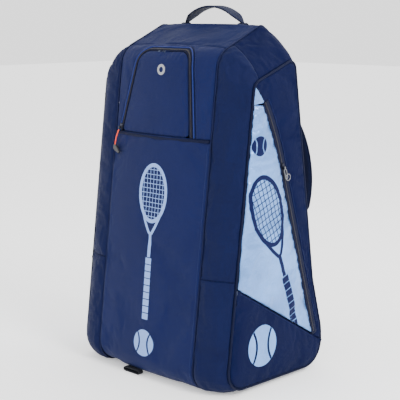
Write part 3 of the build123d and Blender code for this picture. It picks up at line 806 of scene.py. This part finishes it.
SHOULDER_Z = 690.0  # where the seams beside the upper front start to bend
BEND = 43.0  # the length of each bend
inner = [(x, z) for x, z in legs(ribbon(MOUTH, 0))]
outer = []
top_end = len(inner) - LEG
for k in range(len(inner)):
    if k < LEG:
        outer.append((-EDGE, FOLD_Z + k / (LEG - 1) * (SHOULDER_Z - FOLD_Z)))
    elif k >= top_end:
        outer.append((EDGE, SHOULDER_Z - (k - top_end) / (LEG - 1) * (SHOULDER_Z - FOLD_Z)))
    else:
        total = 2 * BEND + 2 * EDGE
        run = (k - LEG + 1) / (top_end - LEG + 1) * total
        if run < BEND:
            outer.append((-EDGE, SHOULDER_Z + run))
        elif run < BEND + 2 * EDGE:
            outer.append((-EDGE + (run - BEND), brow_height(-EDGE + (run - BEND))))
        else:
            outer.append((EDGE, SHOULDER_Z + (total - run)))
layers = []
for share in np.linspace(0, 1, 15):
    layer = [(a[0] + (b[0] - a[0]) * share, a[1] + (b[1] - a[1]) * share) for a, b in zip(inner, outer)]
    layers.append([front_spot(x, min(z, brow_height(x)))[0] for x, z in layer])
upper_cloth = soft_grid(
    "upper_front_cloth", np.array(layers), "front", (0, -1, 0), nodes=["upper_front_panel"], slot="front_fabric",
    cloth=(0.4, 0.006), bulge=0.8, wave=0.6, pucker=0.7, seed=7, edges=(1, 1, 0, 0), limit=1.6)

# Zip tape round the flap, its coil, and the bright piping outside it.
layers = [on_front(legs(ribbon(FLAP, share, MOUTH)), -0.6)[0] for share in np.linspace(0.10, 1.0, 8)]
soft_grid("front_tape", np.array(layers), "tape", (0, -1, 0), nodes=["front_zip_tape"], slot="zip_tape", thick=1.5,
          **FLAT)


def teeth(name, path, outs, body="bag"):
    """A zip's closed coil: short bars side by side along the path."""
    joined = even(np.hstack([path, outs]), 1.9)
    places = []
    for k in range(len(joined) - 1):
        a, b = joined[k][:3], joined[k + 1][:3]
        out = joined[k][3:] / np.linalg.norm(joined[k][3:])
        across = np.cross(b - a, out)
        places.append(((a + b) / 2 + out * 0.1, across, out))
    return blocks(name, places, (4.2, 1.25, 1.2), "teeth", body)


teeth("front_teeth", *on_front(legs(ribbon(FLAP, 0.42, MOUTH)), 0.0))
path = even(on_front(legs(ribbon(FLAP, 0.84, MOUTH)), 0.1)[0], 3)
sweep("front_blue_piping", path, 1.0, (0, -1, 0.05), circle(1.5), "blue_piping")
line = [front_spot(x, z)[0] for x, z in legs(ribbon(FLAP, 1.28, MOUTH))]
sewn("mouth_stitches", upper_cloth, line, (0, -1, 0.05))

# Fold under the flap: a soft dark lip that runs on to the right-hand seam.
line = [(x, FOLD_Z - 4.0 - 2.0 * math.sin((x + 150) / 300 * math.pi))
        for x in np.linspace(-EDGE + 3, EDGE - 3, 70)]
sweep("fold_lip", on_front(line, 0.2)[0], 1.0, (0, -1, 0.1), circle(3.4, 10, 0.55), "piping")

# ---- gussets: each panel's ends on the outline, its grid, look and direction, then how it is sewn ----
LOW = (FLOOR_BACK, 0, BASE_FRONT), (FLOOR_FRONT, 1, CROSS_SEAM)
HIGH = (FLOOR_FRONT, 1, CROSS_SEAM), (BROW, 0, -60.0)
OVER = (BROW, 0, -60.0), (RIDGE, 1, 688.0)
REAR = (RIDGE, 1, 688.0), (FLOOR_BACK, 0, BASE_BACK)
GUSSETS = {
    "gusset_lower": (LOW, 90, 26, "gusset", (0, -1, 0),
                     dict(cloth=(0.8, 0.014), bulge=5.0, wave=1.1, pucker=1.0, edges=(1, 1, 0, 1))),
    "gusset_upper": (HIGH, 130, 26, "gusset", (0, -1, 0),
                     dict(cloth=(0.8, 0.014), bulge=4.0, wave=1.0, pucker=1.1, edges=(1, 1, 1, 0))),
    "shoulder": (OVER, 44, 26, "side", (0.6, 0, 1),
                 dict(cloth=(0.8, 0.012), bulge=3.0, wave=1.0, pucker=1.0, edges=(1, 1, 0, 0))),
    "gusset_back": (REAR, 130, 24, "gusset", (0, 1, 0),
                    dict(cloth=(0.6, 0.010), bulge=2.0, wave=0.8, edges=(1, 1, 0, 0), limit=3.0)),
}
for side, sign in SIDES:
    for step, (part, (ends, rows, columns, look, outward, sewing)) in enumerate(GUSSETS.items()):
        x, y, z = outward
        body_panel(f"{side}_{part}_cloth", RIM, SIDE_HALF, *ends, rows, columns, look, (x * sign, y, z), sign=sign,
                   nodes=[f"{side}_{part}"], slot="gusset_fabric", seed=(11 if sign > 0 else 31) + step, **sewing)
for side, sign in SIDES:
    body_panel(f"{side}_gusset_base_cloth", RIM, SIDE_HALF, (FLOOR_BACK, 0, BASE_BACK), (FLOOR_BACK, 0, BASE_FRONT),
               24, 16, "gusset", (0, 0, -1), nodes=["gusset_bases"], thick=2.0, sign=sign, slot="gusset_fabric",
               **FLAT)


# ---- seam piping ----
def seam_tube(name, x, outline, out, radius, nodes, look="piping"):
    """A closed tube along an outline at x, out beyond it."""
    points = outline_points(outline)
    line = even(np.vstack([points, points[:1]]), 5)[:-1]
    path, outs = [], []
    for point, normal in zip(line, outward_normals(line, line.mean(axis=0))):
        spot = point + normal * out
        path.append((x, spot[0], max(spot[1], radius + 0.2)))
        outs.append((0.0, normal[0], normal[1]))
    return sweep(name, path, 1.0, outs, circle(radius, 10), look, closed=True, nodes=nodes)


for side, sign in SIDES:
    seam_tube(f"{side}_front_seam", sign * 150.0, FRONT_SEAM, -0.6, 1.7, ["front_piping"], "seam")
    seam_tube(f"{side}_side_seam", sign * 229.6, SIDE_SEAM, -0.8, 2.4, ["side_piping"])

# ---- side panels, zips and doors: places are (y, z) ----
ZIP_FOOT = np.array([137.0, 78.0])
ZIP_BEND = np.array([12.0, 488.0])
ZIP_RADIUS = 690.0
ZIP_SWEEP = 12.2
STRAIGHT = float(np.linalg.norm(ZIP_BEND - ZIP_FOOT))
ALONG = (ZIP_BEND - ZIP_FOOT) / STRAIGHT
ACROSS = np.array([ALONG[1], -ALONG[0]])
ARC_CENTRE = ZIP_BEND - ZIP_RADIUS * ACROSS
ARC_START = math.atan2(ACROSS[1], ACROSS[0])
ZIP_END = STRAIGHT + ZIP_RADIUS * math.radians(ZIP_SWEEP)
DOOR_CORNER = np.array([-126.0, 234.0])
DOOR_TOP = 618.3
PANEL_TOP = 617.0
APEX = np.array([-75.5, 660.0])
PANEL_X = 232.0
DOOR_X = 233.3
HIP_Y = 160.0  # where the lower and the rear side panel meet at the seam


def zip_spot(run, shift):
    """(y, z) at run mm along the zip, shift mm to the rear of its line."""
    if run <= STRAIGHT:
        return ZIP_FOOT + ALONG * run + ACROSS * shift
    angle = ARC_START + (run - STRAIGHT) / ZIP_RADIUS
    return ARC_CENTRE + (ZIP_RADIUS + shift) * np.array([math.cos(angle), math.sin(angle)])


def zip_line(start, shift, count):
    """Points along the zip from run start to its end."""
    return [zip_spot(run, shift) for run in np.linspace(start, ZIP_END, count)]


def diagonal(y):
    """The height at y of the slanted seam under the door."""
    across, down = ZIP_FOOT - DOOR_CORNER
    return DOOR_CORNER[1] + (y - DOOR_CORNER[0]) / across * down


def ruled(first, second, x, rows, columns):
    """A flat grid between two lines of (y, z), standing at x."""
    return np.array([[(x, *(p + (q - p) * t)) for t in np.linspace(0, 1, columns + 1)]
                     for p, q in zip(resample(first, rows + 1), resample(second, rows + 1))])


seam_rise = np.array(SIDE_SEAM[0][1]) - np.array(SIDE_SEAM[0][0])
seam_up = seam_rise / np.linalg.norm(seam_rise)


def door_front(z):
    """The door's front edge at height z."""
    return np.array([DOOR_CORNER[0] + (z - DOOR_CORNER[1]) * seam_up[0] / seam_up[1], z])


door_zip = [p for p in zip_line(0, -7.5, 200) if diagonal(p[0]) + 1.5 < p[1] < DOOR_TOP]
door_leg = [door_front(z) for z in np.linspace(diagonal(DOOR_CORNER[0]) + 1.5, DOOR_TOP, 80)]
side_outline = outline_points(SIDE_SEAM)
side_normals = outward_normals(side_outline, np.array([20.0, 300.0]))
side_edge = np.array([point - normal * 3.0 for point, normal in zip(side_outline, side_normals)])
front_cross = index_at(side_edge, FLOOR_FRONT, 1, DOOR_CORNER[1])
apex_index = index_at(side_edge, FLOOR_FRONT, 1, PANEL_TOP)
rear_cross = index_at(side_edge, HIP, 1, diagonal(HIP_Y))
rear_stop = index_at(side_edge, HIP, 1, diagonal(HIP_Y) + 1.0)

for side, sign in SIDES:
    out = (sign, 0, 0)
    right_side = sign > 0
    # Lower side panel.
    start_y = door_front(DOOR_CORNER[1])[0] - 3.5
    top_edge = [(y, diagonal(y) - 0.4) for y in np.linspace(start_y, HIP_Y + 1, 60)]
    bottom_edge = stretch(side_edge, rear_cross, front_cross + len(side_edge), 160)[::-1]
    grid = ruled(top_edge, bottom_edge, sign * PANEL_X, 70, 30)
    lower_cloth = soft_grid(
        f"{side}_lower_side_cloth", grid, "side", out, nodes=[f"{side}_lower_side_panel"], slot="side_fabric",
        cloth=(0.8, 0.010), bulge=4.0, wave=1.0, pucker=0.8, seed=41 if right_side else 51, limit=6.0)
    grids = ball_print((sign * PANEL_X, -52.0, 98.0), (0, 0, 1), (0, 1, 0), 46.0, 3.2)
    # The ball is printed in the satin look, whose wide spread of tone is painted highlight and painted shade.
    decal(f"{side}_lower_ball_print", lower_cloth, grids, out, "door", "bag")
    # Rear side panel, from the zip's rear edge to the seam, and round its top end.
    foot_corner = np.array([134.0, diagonal(134.0) + 0.8])
    top_end = [zip_spot(ZIP_END, 0), zip_spot(ZIP_END, -7.0), door_front(618.5) + np.array([-3.0, 0.0])]
    first_line = [foot_corner] + zip_line(6, 9.5, 90) + top_end
    grid = ruled(first_line, stretch(side_edge, apex_index, rear_stop, 160)[::-1], sign * PANEL_X, 150, 22)
    rear_cloth = soft_grid(
        f"{side}_rear_side_cloth", grid, "side", out, nodes=[f"{side}_rear_side_panel"], slot="side_fabric",
        cloth=(0.5, 0.010), bulge=2.2, wave=0.8, pucker=0.9, seed=42 if right_side else 52, edges=(0, 0, 1, 1),
        limit=3.2)
    # The satin runs on above the door to its apex, beside a dark seam that carries on the zip's line.
    low_front, low_rear = door_front(619.0) - np.array([2.5, 0]), zip_spot(ZIP_END, -1.0)
    front_line = [low_front + (APEX - low_front) * t for t in np.linspace(0, 1, 12)]
    rear_line = [low_rear + (APEX - low_rear) * t for t in np.linspace(0, 0.985, 12)]
    grid = np.array([[(sign * PANEL_X, *(p + (q - p) * t)) for t in np.linspace(0, 1, 8)]
                     for p, q in zip(front_line, rear_line)])
    # The apex patch wears the satin look with its painted highlights and painted shade.
    decal(f"{side}_apex_cloth", rear_cloth, [grid], out, "door", "bag")
    path, outs = seat(rear_cloth, [(sign * PANEL_X, *p) for p in rear_line], out, 0.3)
    sweep(f"{side}_apex_seam", path, 1.0, outs, circle(1.3, 8, 0.7), "piping")
    # Zip tape and coil.
    layers = [[(sign * (PANEL_X + 0.1), *p) for p in zip_line(5, shift, 120)]
              for shift in np.linspace(-6, 10, 8)]
    soft_grid(f"{side}_side_tape", np.array(layers), "tape", out, nodes=[f"{side}_zip_tape"], slot="zip_tape",
              thick=2.5, **FLAT)
    path = np.array([(sign * (PANEL_X + 0.3), *p) for p in zip_line(12, 0, 200)])
    teeth(f"{side}_side_teeth", path, np.tile(np.array([sign, 0, 0.0]), (len(path), 1)))
    # Door.
    grid = ruled(door_leg, door_zip, sign * DOOR_X, 130, 56)
    door_cloth = soft_grid(
        f"{side}_door_cloth", grid, "door", out, body=f"{side}_door", nodes=[f"{side}_door"], slot="door_satin",
        cloth=(0.9, 0.012), bulge=7.0, tuck=1.2, wave=2.6, pucker=0.6, seed=43 if right_side else 53, thick=4.0,
        limit=9.0)
    door_up, door_right = np.array([0.0, -0.36, 0.933]), np.array([0.0, 0.933, 0.36])
    grids = racket_print((sign * DOOR_X, -41.0, 392.0), door_up, door_right, (40, 68), out,
                         (44, -272, 5.0, 10.0), 1.15)
    decal(f"{side}_door_racket_print", door_cloth, grids, out, "print_navy", f"{side}_door")
    grids = ball_print((sign * DOOR_X, -66.0, 533.0), (0, 0, 1), (0, 1, 0), 21.0, 1.6)
    decal(f"{side}_door_ball_print", door_cloth, grids, out, "print_navy", f"{side}_door")
    line = [(sign * DOOR_X, *(p + ACROSS * -6.0)) for p in even(door_zip, 4)[2:-8]]
    sewn(f"{side}_door_stitches", door_cloth, line, out, f"{side}_door")
    line = [(sign * PANEL_X, y, diagonal(y) - 5.0) for y in np.linspace(-118, 128, 60)]
    sewn(f"{side}_lower_stitches", lower_cloth, line, out)
    line = [(sign * PANEL_X, *p) for p in zip_line(30, 14.0, 90)]
    sewn(f"{side}_rear_stitches", rear_cloth, line, out)
    path = [(sign * (DOOR_X + 0.2), *(p + ACROSS * -1.6)) for p in even(door_zip, 4)]
    sweep(f"{side}_door_edge", path, 1.0, out, circle(1.9, 10), "piping", body=f"{side}_door")

# Dividers between the compartments.
for side, sign in SIDES:
    points = section_at(150.0)
    front_line = stretch(points, index_at(points, FLOOR_FRONT, 1, 46.0), index_at(points, BROW, 0, -60.0), 60)
    rear_line = stretch(points, index_at(points, RIDGE, 1, 766.0), index_at(points, HIP, 1, 60.0), 60)[::-1]
    grid = ruled([p + (5.0, -1.0) for p in front_line], [p - (5.0, 1.0) for p in rear_line], sign * 149.0, 60, 30)
    soft_grid(f"{side}_divider_cloth", grid, "lining", (sign, 0, 0), nodes=[f"{side}_divider"], slot="lining",
              tuck=0, pucker=0.4, wave=0.5, seed=71, thick=2.0, limit=1.5)

# ---- flap ----
flap_line = ribbon(FLAP, 0)
flap_left = np.array(flap_line[:16])
flap_right = np.array(flap_line[::-1][:16])
FLAP_FOOT = FOLD_Z + 0.8
FLAP_TOP = 723.9
CORNER = 9.0  # the radius of the flap's lower corners
grid = []
for z in FLAP_FOOT + (FLAP_TOP - FLAP_FOOT) * np.sin(np.linspace(0, math.pi / 2, 76)):
    a = float(np.interp(z, flap_left[:, 1], flap_left[:, 0]))
    b = float(np.interp(z, flap_right[:, 1], flap_right[:, 0]))
    rise = max(0.0, min(CORNER, z - FLAP_FOOT))
    cut = CORNER - math.sqrt(CORNER**2 - (CORNER - rise) ** 2)
    grid.append([front_spot(x, z)[0] for x in np.linspace(a + cut, b - cut, 61)])


def eyelet_dip(point, near):
    """The flap lies a little lower round its eyelet."""
    gap = math.dist((point[0], point[2]), EYELET)
    return -1.0 * math.exp(-((gap / 20.0) ** 2))


soft_grid("flap_cloth", np.array(grid), "front", (0, -1, 0), body="front_flap", nodes=["front_flap"],
          slot="front_fabric", cloth=(0.4, 0.006), bulge=1.0, wave=0.8, pucker=1.0, tuck=1.2, seed=61, limit=0.9,
          extra=eyelet_dip)

# ---- handle: an arc of webbing that narrows to its feet ----
FOOT_X, FOOT_Z, PEAK_Z, HANDLE_Y = 88.0, 784.5, 822.0, 46.0
rise = PEAK_Z - FOOT_Z
arc_radius = (FOOT_X**2 + rise**2) / (2 * rise)
half_angle = math.asin(FOOT_X / arc_radius)
path, widths, outs = [], [], []
for t in np.linspace(-1, 1, 61):
    angle = t * half_angle
    height = PEAK_Z - 1.5 - arc_radius * (1 - math.cos(angle))
    path.append((arc_radius * math.sin(angle), HANDLE_Y, height))
    widths.append((min(1.0, 0.20 + (height - FOOT_Z + 1.5) / 22.0), 1.0 + 0.5 * (1 - t * t)))
    outs.append((math.sin(angle), 0, math.cos(angle)))
sweep("handle_webbing", path, widths, outs, rounded_bar(17.0, 1.5), "web", body="top_handle", nodes=["top_handle"])
for edge, shift in (("front", -12.0), ("back", 12.0)):
    rail = [(p[0], p[1] + shift * min(1.0, w[0]), p[2]) for p, w in zip(path, widths)]
    stitches(f"handle_stitch_{edge}", rail, outs, body="top_handle", lift=2.0)

# Handle's sewn ends.
for side, sign in SIDES:
    line = ((40.0, 781.2), (46.0, 783.6), (52.5, 779.0), (56.5, 768.0), (58.0, 757.0))
    path = even([(sign * FOOT_X, y, z) for y, z in line], 2)
    webbing(f"{side}_handle_end", path, (0, 0.8, 0.6), 12.0, 1.2, nodes=["handle_anchors"])

# ---- shoulder straps: each lies in a plane through its two anchors ----
TOP = np.array([75.0, 84.0, 650.0])
FOOT = np.array([175.0, 165.0, 130.0])
LENGTH = float(np.linalg.norm(FOOT - TOP))
CHORD = (FOOT - TOP) / LENGTH
OUT = np.array([0.0, 1.0, 0.0]) - CHORD * CHORD[1]
OUT /= np.linalg.norm(OUT)
PAD_STEPS = 70
PAD_SHAPE = [(-30, 0), (-29.5, 2.6), (-27.5, 4.0), (-25.5, 4.2), (-22, 5.8), (-12, 7.2), (0, 7.6), (12, 7.2),
             (22, 5.8), (25.5, 4.2), (27.5, 4.0), (29.5, 2.6), (30, 0), (29, -2.4), (24, -4.4), (12, -5.6),
             (0, -6.0), (-12, -5.6), (-24, -4.4), (-29, -2.4)]


def strap_spot(along, out, sign):
    """A point along a strap's chord, out from the back."""
    spot = TOP + CHORD * along + OUT * out
    return np.array([spot[0] * sign, spot[1], spot[2]])


def arc_through(a, b, c, count):
    """Points of the circle through three points."""
    ax, ay = a
    bx, by = b
    cx, cy = c
    d = 2 * (ax * (by - cy) + bx * (cy - ay) + cx * (ay - by))
    ux = ((ax**2 + ay**2) * (by - cy) + (bx**2 + by**2) * (cy - ay) + (cx**2 + cy**2) * (ay - by)) / d
    uy = ((ax**2 + ay**2) * (cx - bx) + (bx**2 + by**2) * (ax - cx) + (cx**2 + cy**2) * (bx - ax)) / d
    radius = math.hypot(ax - ux, ay - uy)
    first, last = math.atan2(ay - uy, ax - ux), math.atan2(cy - uy, cx - ux)
    turn = (last - first + math.pi) % (2 * math.pi) - math.pi
    angles = [first + turn * k / count for k in range(count + 1)]
    return [(ux + radius * math.cos(angle), uy + radius * math.sin(angle)) for angle in angles]


def pad_rail(path, outs, widths, across_by, out_by):
    """A line along the pad, across_by to one side of its middle and out_by above it."""
    rail = []
    for k, (spot, out, width) in enumerate(zip(path, outs, widths)):
        across = np.cross(path[min(k + 1, PAD_STEPS)] - path[max(k - 1, 0)], out)
        across /= np.linalg.norm(across)
        upward = np.array(out) / np.linalg.norm(out)
        rail.append(spot + across * across_by * width[0] + upward * out_by * width[1])
    return rail


for side, sign in SIDES:
    strap = f"{side}_strap"
    arc = arc_through((43, 57), (140, 108.5), (328, 54.5), PAD_STEPS)
    path = [strap_spot(along, out, sign) for along, out in arc]
    outs, widths = [], []
    for k in range(PAD_STEPS + 1):
        tangent = np.subtract(arc[min(k + 1, PAD_STEPS)], arc[max(k - 1, 0)])
        tangent /= np.linalg.norm(tangent)
        flat = np.array([-tangent[1], tangent[0]])
        flat = flat if flat[1] > 0 else -flat
        vector = CHORD * flat[0] + OUT * flat[1]
        outs.append((vector[0] * sign, vector[1], vector[2]))
        end = min(1.0, min(k, PAD_STEPS - k) / 4.0)
        widths.append((0.62 + 0.38 * end, 0.45 + 0.55 * end))
    pad = sweep(f"{strap}_pad_cloth", path, widths, outs, PAD_SHAPE, "pad", body=strap, nodes=[f"{strap}_pad"])
    for mark, edge in (("a", -1), ("b", 1)):
        rail = pad_rail(path, outs, widths, edge * 29.6, 0.0)
        sweep(f"{side}_pad_binding_{mark}", rail, 1.0, outs, circle(2.4, 8), "piping", body=strap)
        rail = pad_rail(path, outs, widths, edge * 24.5, 4.4)
        stitches(f"{side}_pad_stitch_{mark}", rail, outs, body=strap)
    strap_out = (OUT[0] * sign, OUT[1], OUT[2])
    top_line = ((0.3, 0), (14, 14.5), (32, 35.5), (54, 59))
    lower_line = ((318, 55.0), (350, 47.2), (420, 29.3), (490, 11.6), (LENGTH - 0.3, 0.1))
    for part, line, step in (("top_web", top_line, 3), ("lower_web", lower_line, 4)):
        path = even([strap_spot(along, out, sign) for along, out in line], step)
        webbing(f"{side}_{part}_cloth", path, strap_out, 12.5, 1.0, strap, [f"{strap}_{part}"])
    # Anchors sewn to the back, as (y, z) lines.
    top_line = ((66.5, 700), (69.5, 690), (75, 672), (83, 653))
    path = even([(sign * 75, y, z) for y, z in top_line], 3)
    webbing(f"{side}_top_anchor_cloth", path, (0, 1, 0.4), 12.5, 1.5, nodes=["strap_top_anchors"])
    foot_line = ((160.5, 100), (161.5, 108), (163.2, 118), (163.6, 126))
    path = even([(sign * 175, y, z) for y, z in foot_line], 3)
    webbing(f"{side}_foot_anchor_cloth", path, (0, 1, 0.1), 12.5, 1.6, nodes=["strap_foot_anchors"])
    # Door tab.
    tab = np.array([0.85, 0.53]) / np.linalg.norm([0.85, 0.53])
    path = [(sign * (DOOR_X + 1.2), *(np.array([-7.0, 475.0]) + tab * t)) for t in np.linspace(-10, 10, 9)]
    webbing(f"{side}_door_tab_cloth", path, (sign, 0, 0), 5.0, 0.9, f"{side}_door", [f"{side}_door_tab"])

# ---- base grab loop ----
loop = []
for x, z, start in ((-23.5, 5.9, 0), (-66.5, 5.9, 90), (-66.5, 4.9, 180), (-23.5, 4.9, 270)):
    for k in range(7):
        angle = math.radians(start + k * 15)
        loop.append((x + 3.6 * math.cos(angle), -172.5, z + 3.6 * math.sin(angle)))
sweep("grab_loop_webbing", even(loop + loop[:1], 2.0)[:-1], 1.0, None, rounded_bar(7.0, 1.0), "black_web",
      closed=True, nodes=["base_grab_loop"])

# ---- orange pull cord: the same route as its solid ----
CORD = [(-130.3276, -130.3959, 545.5062), (-135.3276, -131.7062, 534.5062), (-138.8276, -133.2547, 521.5062),
        (-139.6276, -134.8031, 508.5062)]
curve = bpy.data.curves.new("pull_cord", "CURVE")
curve.dimensions = "3D"
curve.bevel_depth = 1.4 * MM
curve.bevel_resolution = 4
curve.use_fill_caps = True
spline = curve.splines.new("NURBS")
spline.points.add(len(CORD) - 1)
for spot, target in zip(spline.points, CORD):
    spot.co = (*(c * MM for c in target), 1.0)
spline.order_u = 3
spline.use_endpoint_u = True
pull_cord = bpy.data.objects.new("pull_cord", curve)
bpy.context.scene.collection.objects.link(pull_cord)
curve.materials.append(LOOK["orange"])
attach(pull_cord, "front_pull")
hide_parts("front_pull_cord")

# ---- floor, lights and camera ----
floor_mesh = bpy.data.meshes.new("floor")
floor_mesh.from_pydata([(-12, -12, 0), (12, -12, 0), (12, 12, 0), (-12, 12, 0)], [], [(0, 1, 2, 3)])
floor = bpy.data.objects.new("floor", floor_mesh)
bpy.context.scene.collection.objects.link(floor)
paper, tree, shader = material("pale_floor")
shader.inputs["Base Color"].default_value = (0.93, 0.93, 0.93, 1)
shader.inputs["Roughness"].default_value = 0.8
shader.inputs["Emission Color"].default_value = (1, 1, 1, 1)
shader.inputs["Emission Strength"].default_value = 0.37
floor_mesh.materials.append(paper)

world = bpy.data.worlds.new("studio")
bpy.context.scene.world = world
world.use_nodes = True
around = node(world.node_tree, "ShaderNodeTexCoord")
split = node(world.node_tree, "ShaderNodeSeparateXYZ")
world.node_tree.links.new(around.outputs["Generated"], split.inputs["Vector"])
ramp = node(world.node_tree, "ShaderNodeMapRange",
            {"From Min": 0.0, "From Max": 1.0, "To Min": 1.0, "To Max": 1.15})
world.node_tree.links.new(split.outputs["Z"], ramp.inputs["Value"])
world.node_tree.links.new(ramp.outputs["Result"], world.node_tree.nodes["Background"].inputs["Color"])
world.node_tree.nodes["Background"].inputs["Strength"].default_value = 1.8


def area_light(name, place, target, size, power):
    light = bpy.data.lights.new(name, "AREA")
    light.energy = power
    light.size = size
    made = bpy.data.objects.new(name, light)
    made.location = place
    made.rotation_euler = (Vector(target) - Vector(place)).to_track_quat("-Z", "Y").to_euler()
    bpy.context.scene.collection.objects.link(made)


area_light("key", (2.6, -0.4, 2.2), (0.1, 0, 0.4), 1.0, 95)
area_light("fill", (-1.8, -2.4, 1.5), (0, 0, 0.4), 1.6, 22)
area_light("rim", (0.6, 2.2, 2.0), (0, 0, 0.5), 1.0, 25)

camera = bpy.data.cameras.new("camera")
camera.lens = 95.2
camera.sensor_width = 36
shot = bpy.data.objects.new("camera", camera)
shot.location = (1.6656, -1.7247, 0.8069)
shot.rotation_euler = (Vector((0.0043, -0.0046, 0.383)) - shot.location).to_track_quat("-Z", "Y").to_euler()
bpy.context.scene.collection.objects.link(shot)
bpy.context.scene.camera = shot
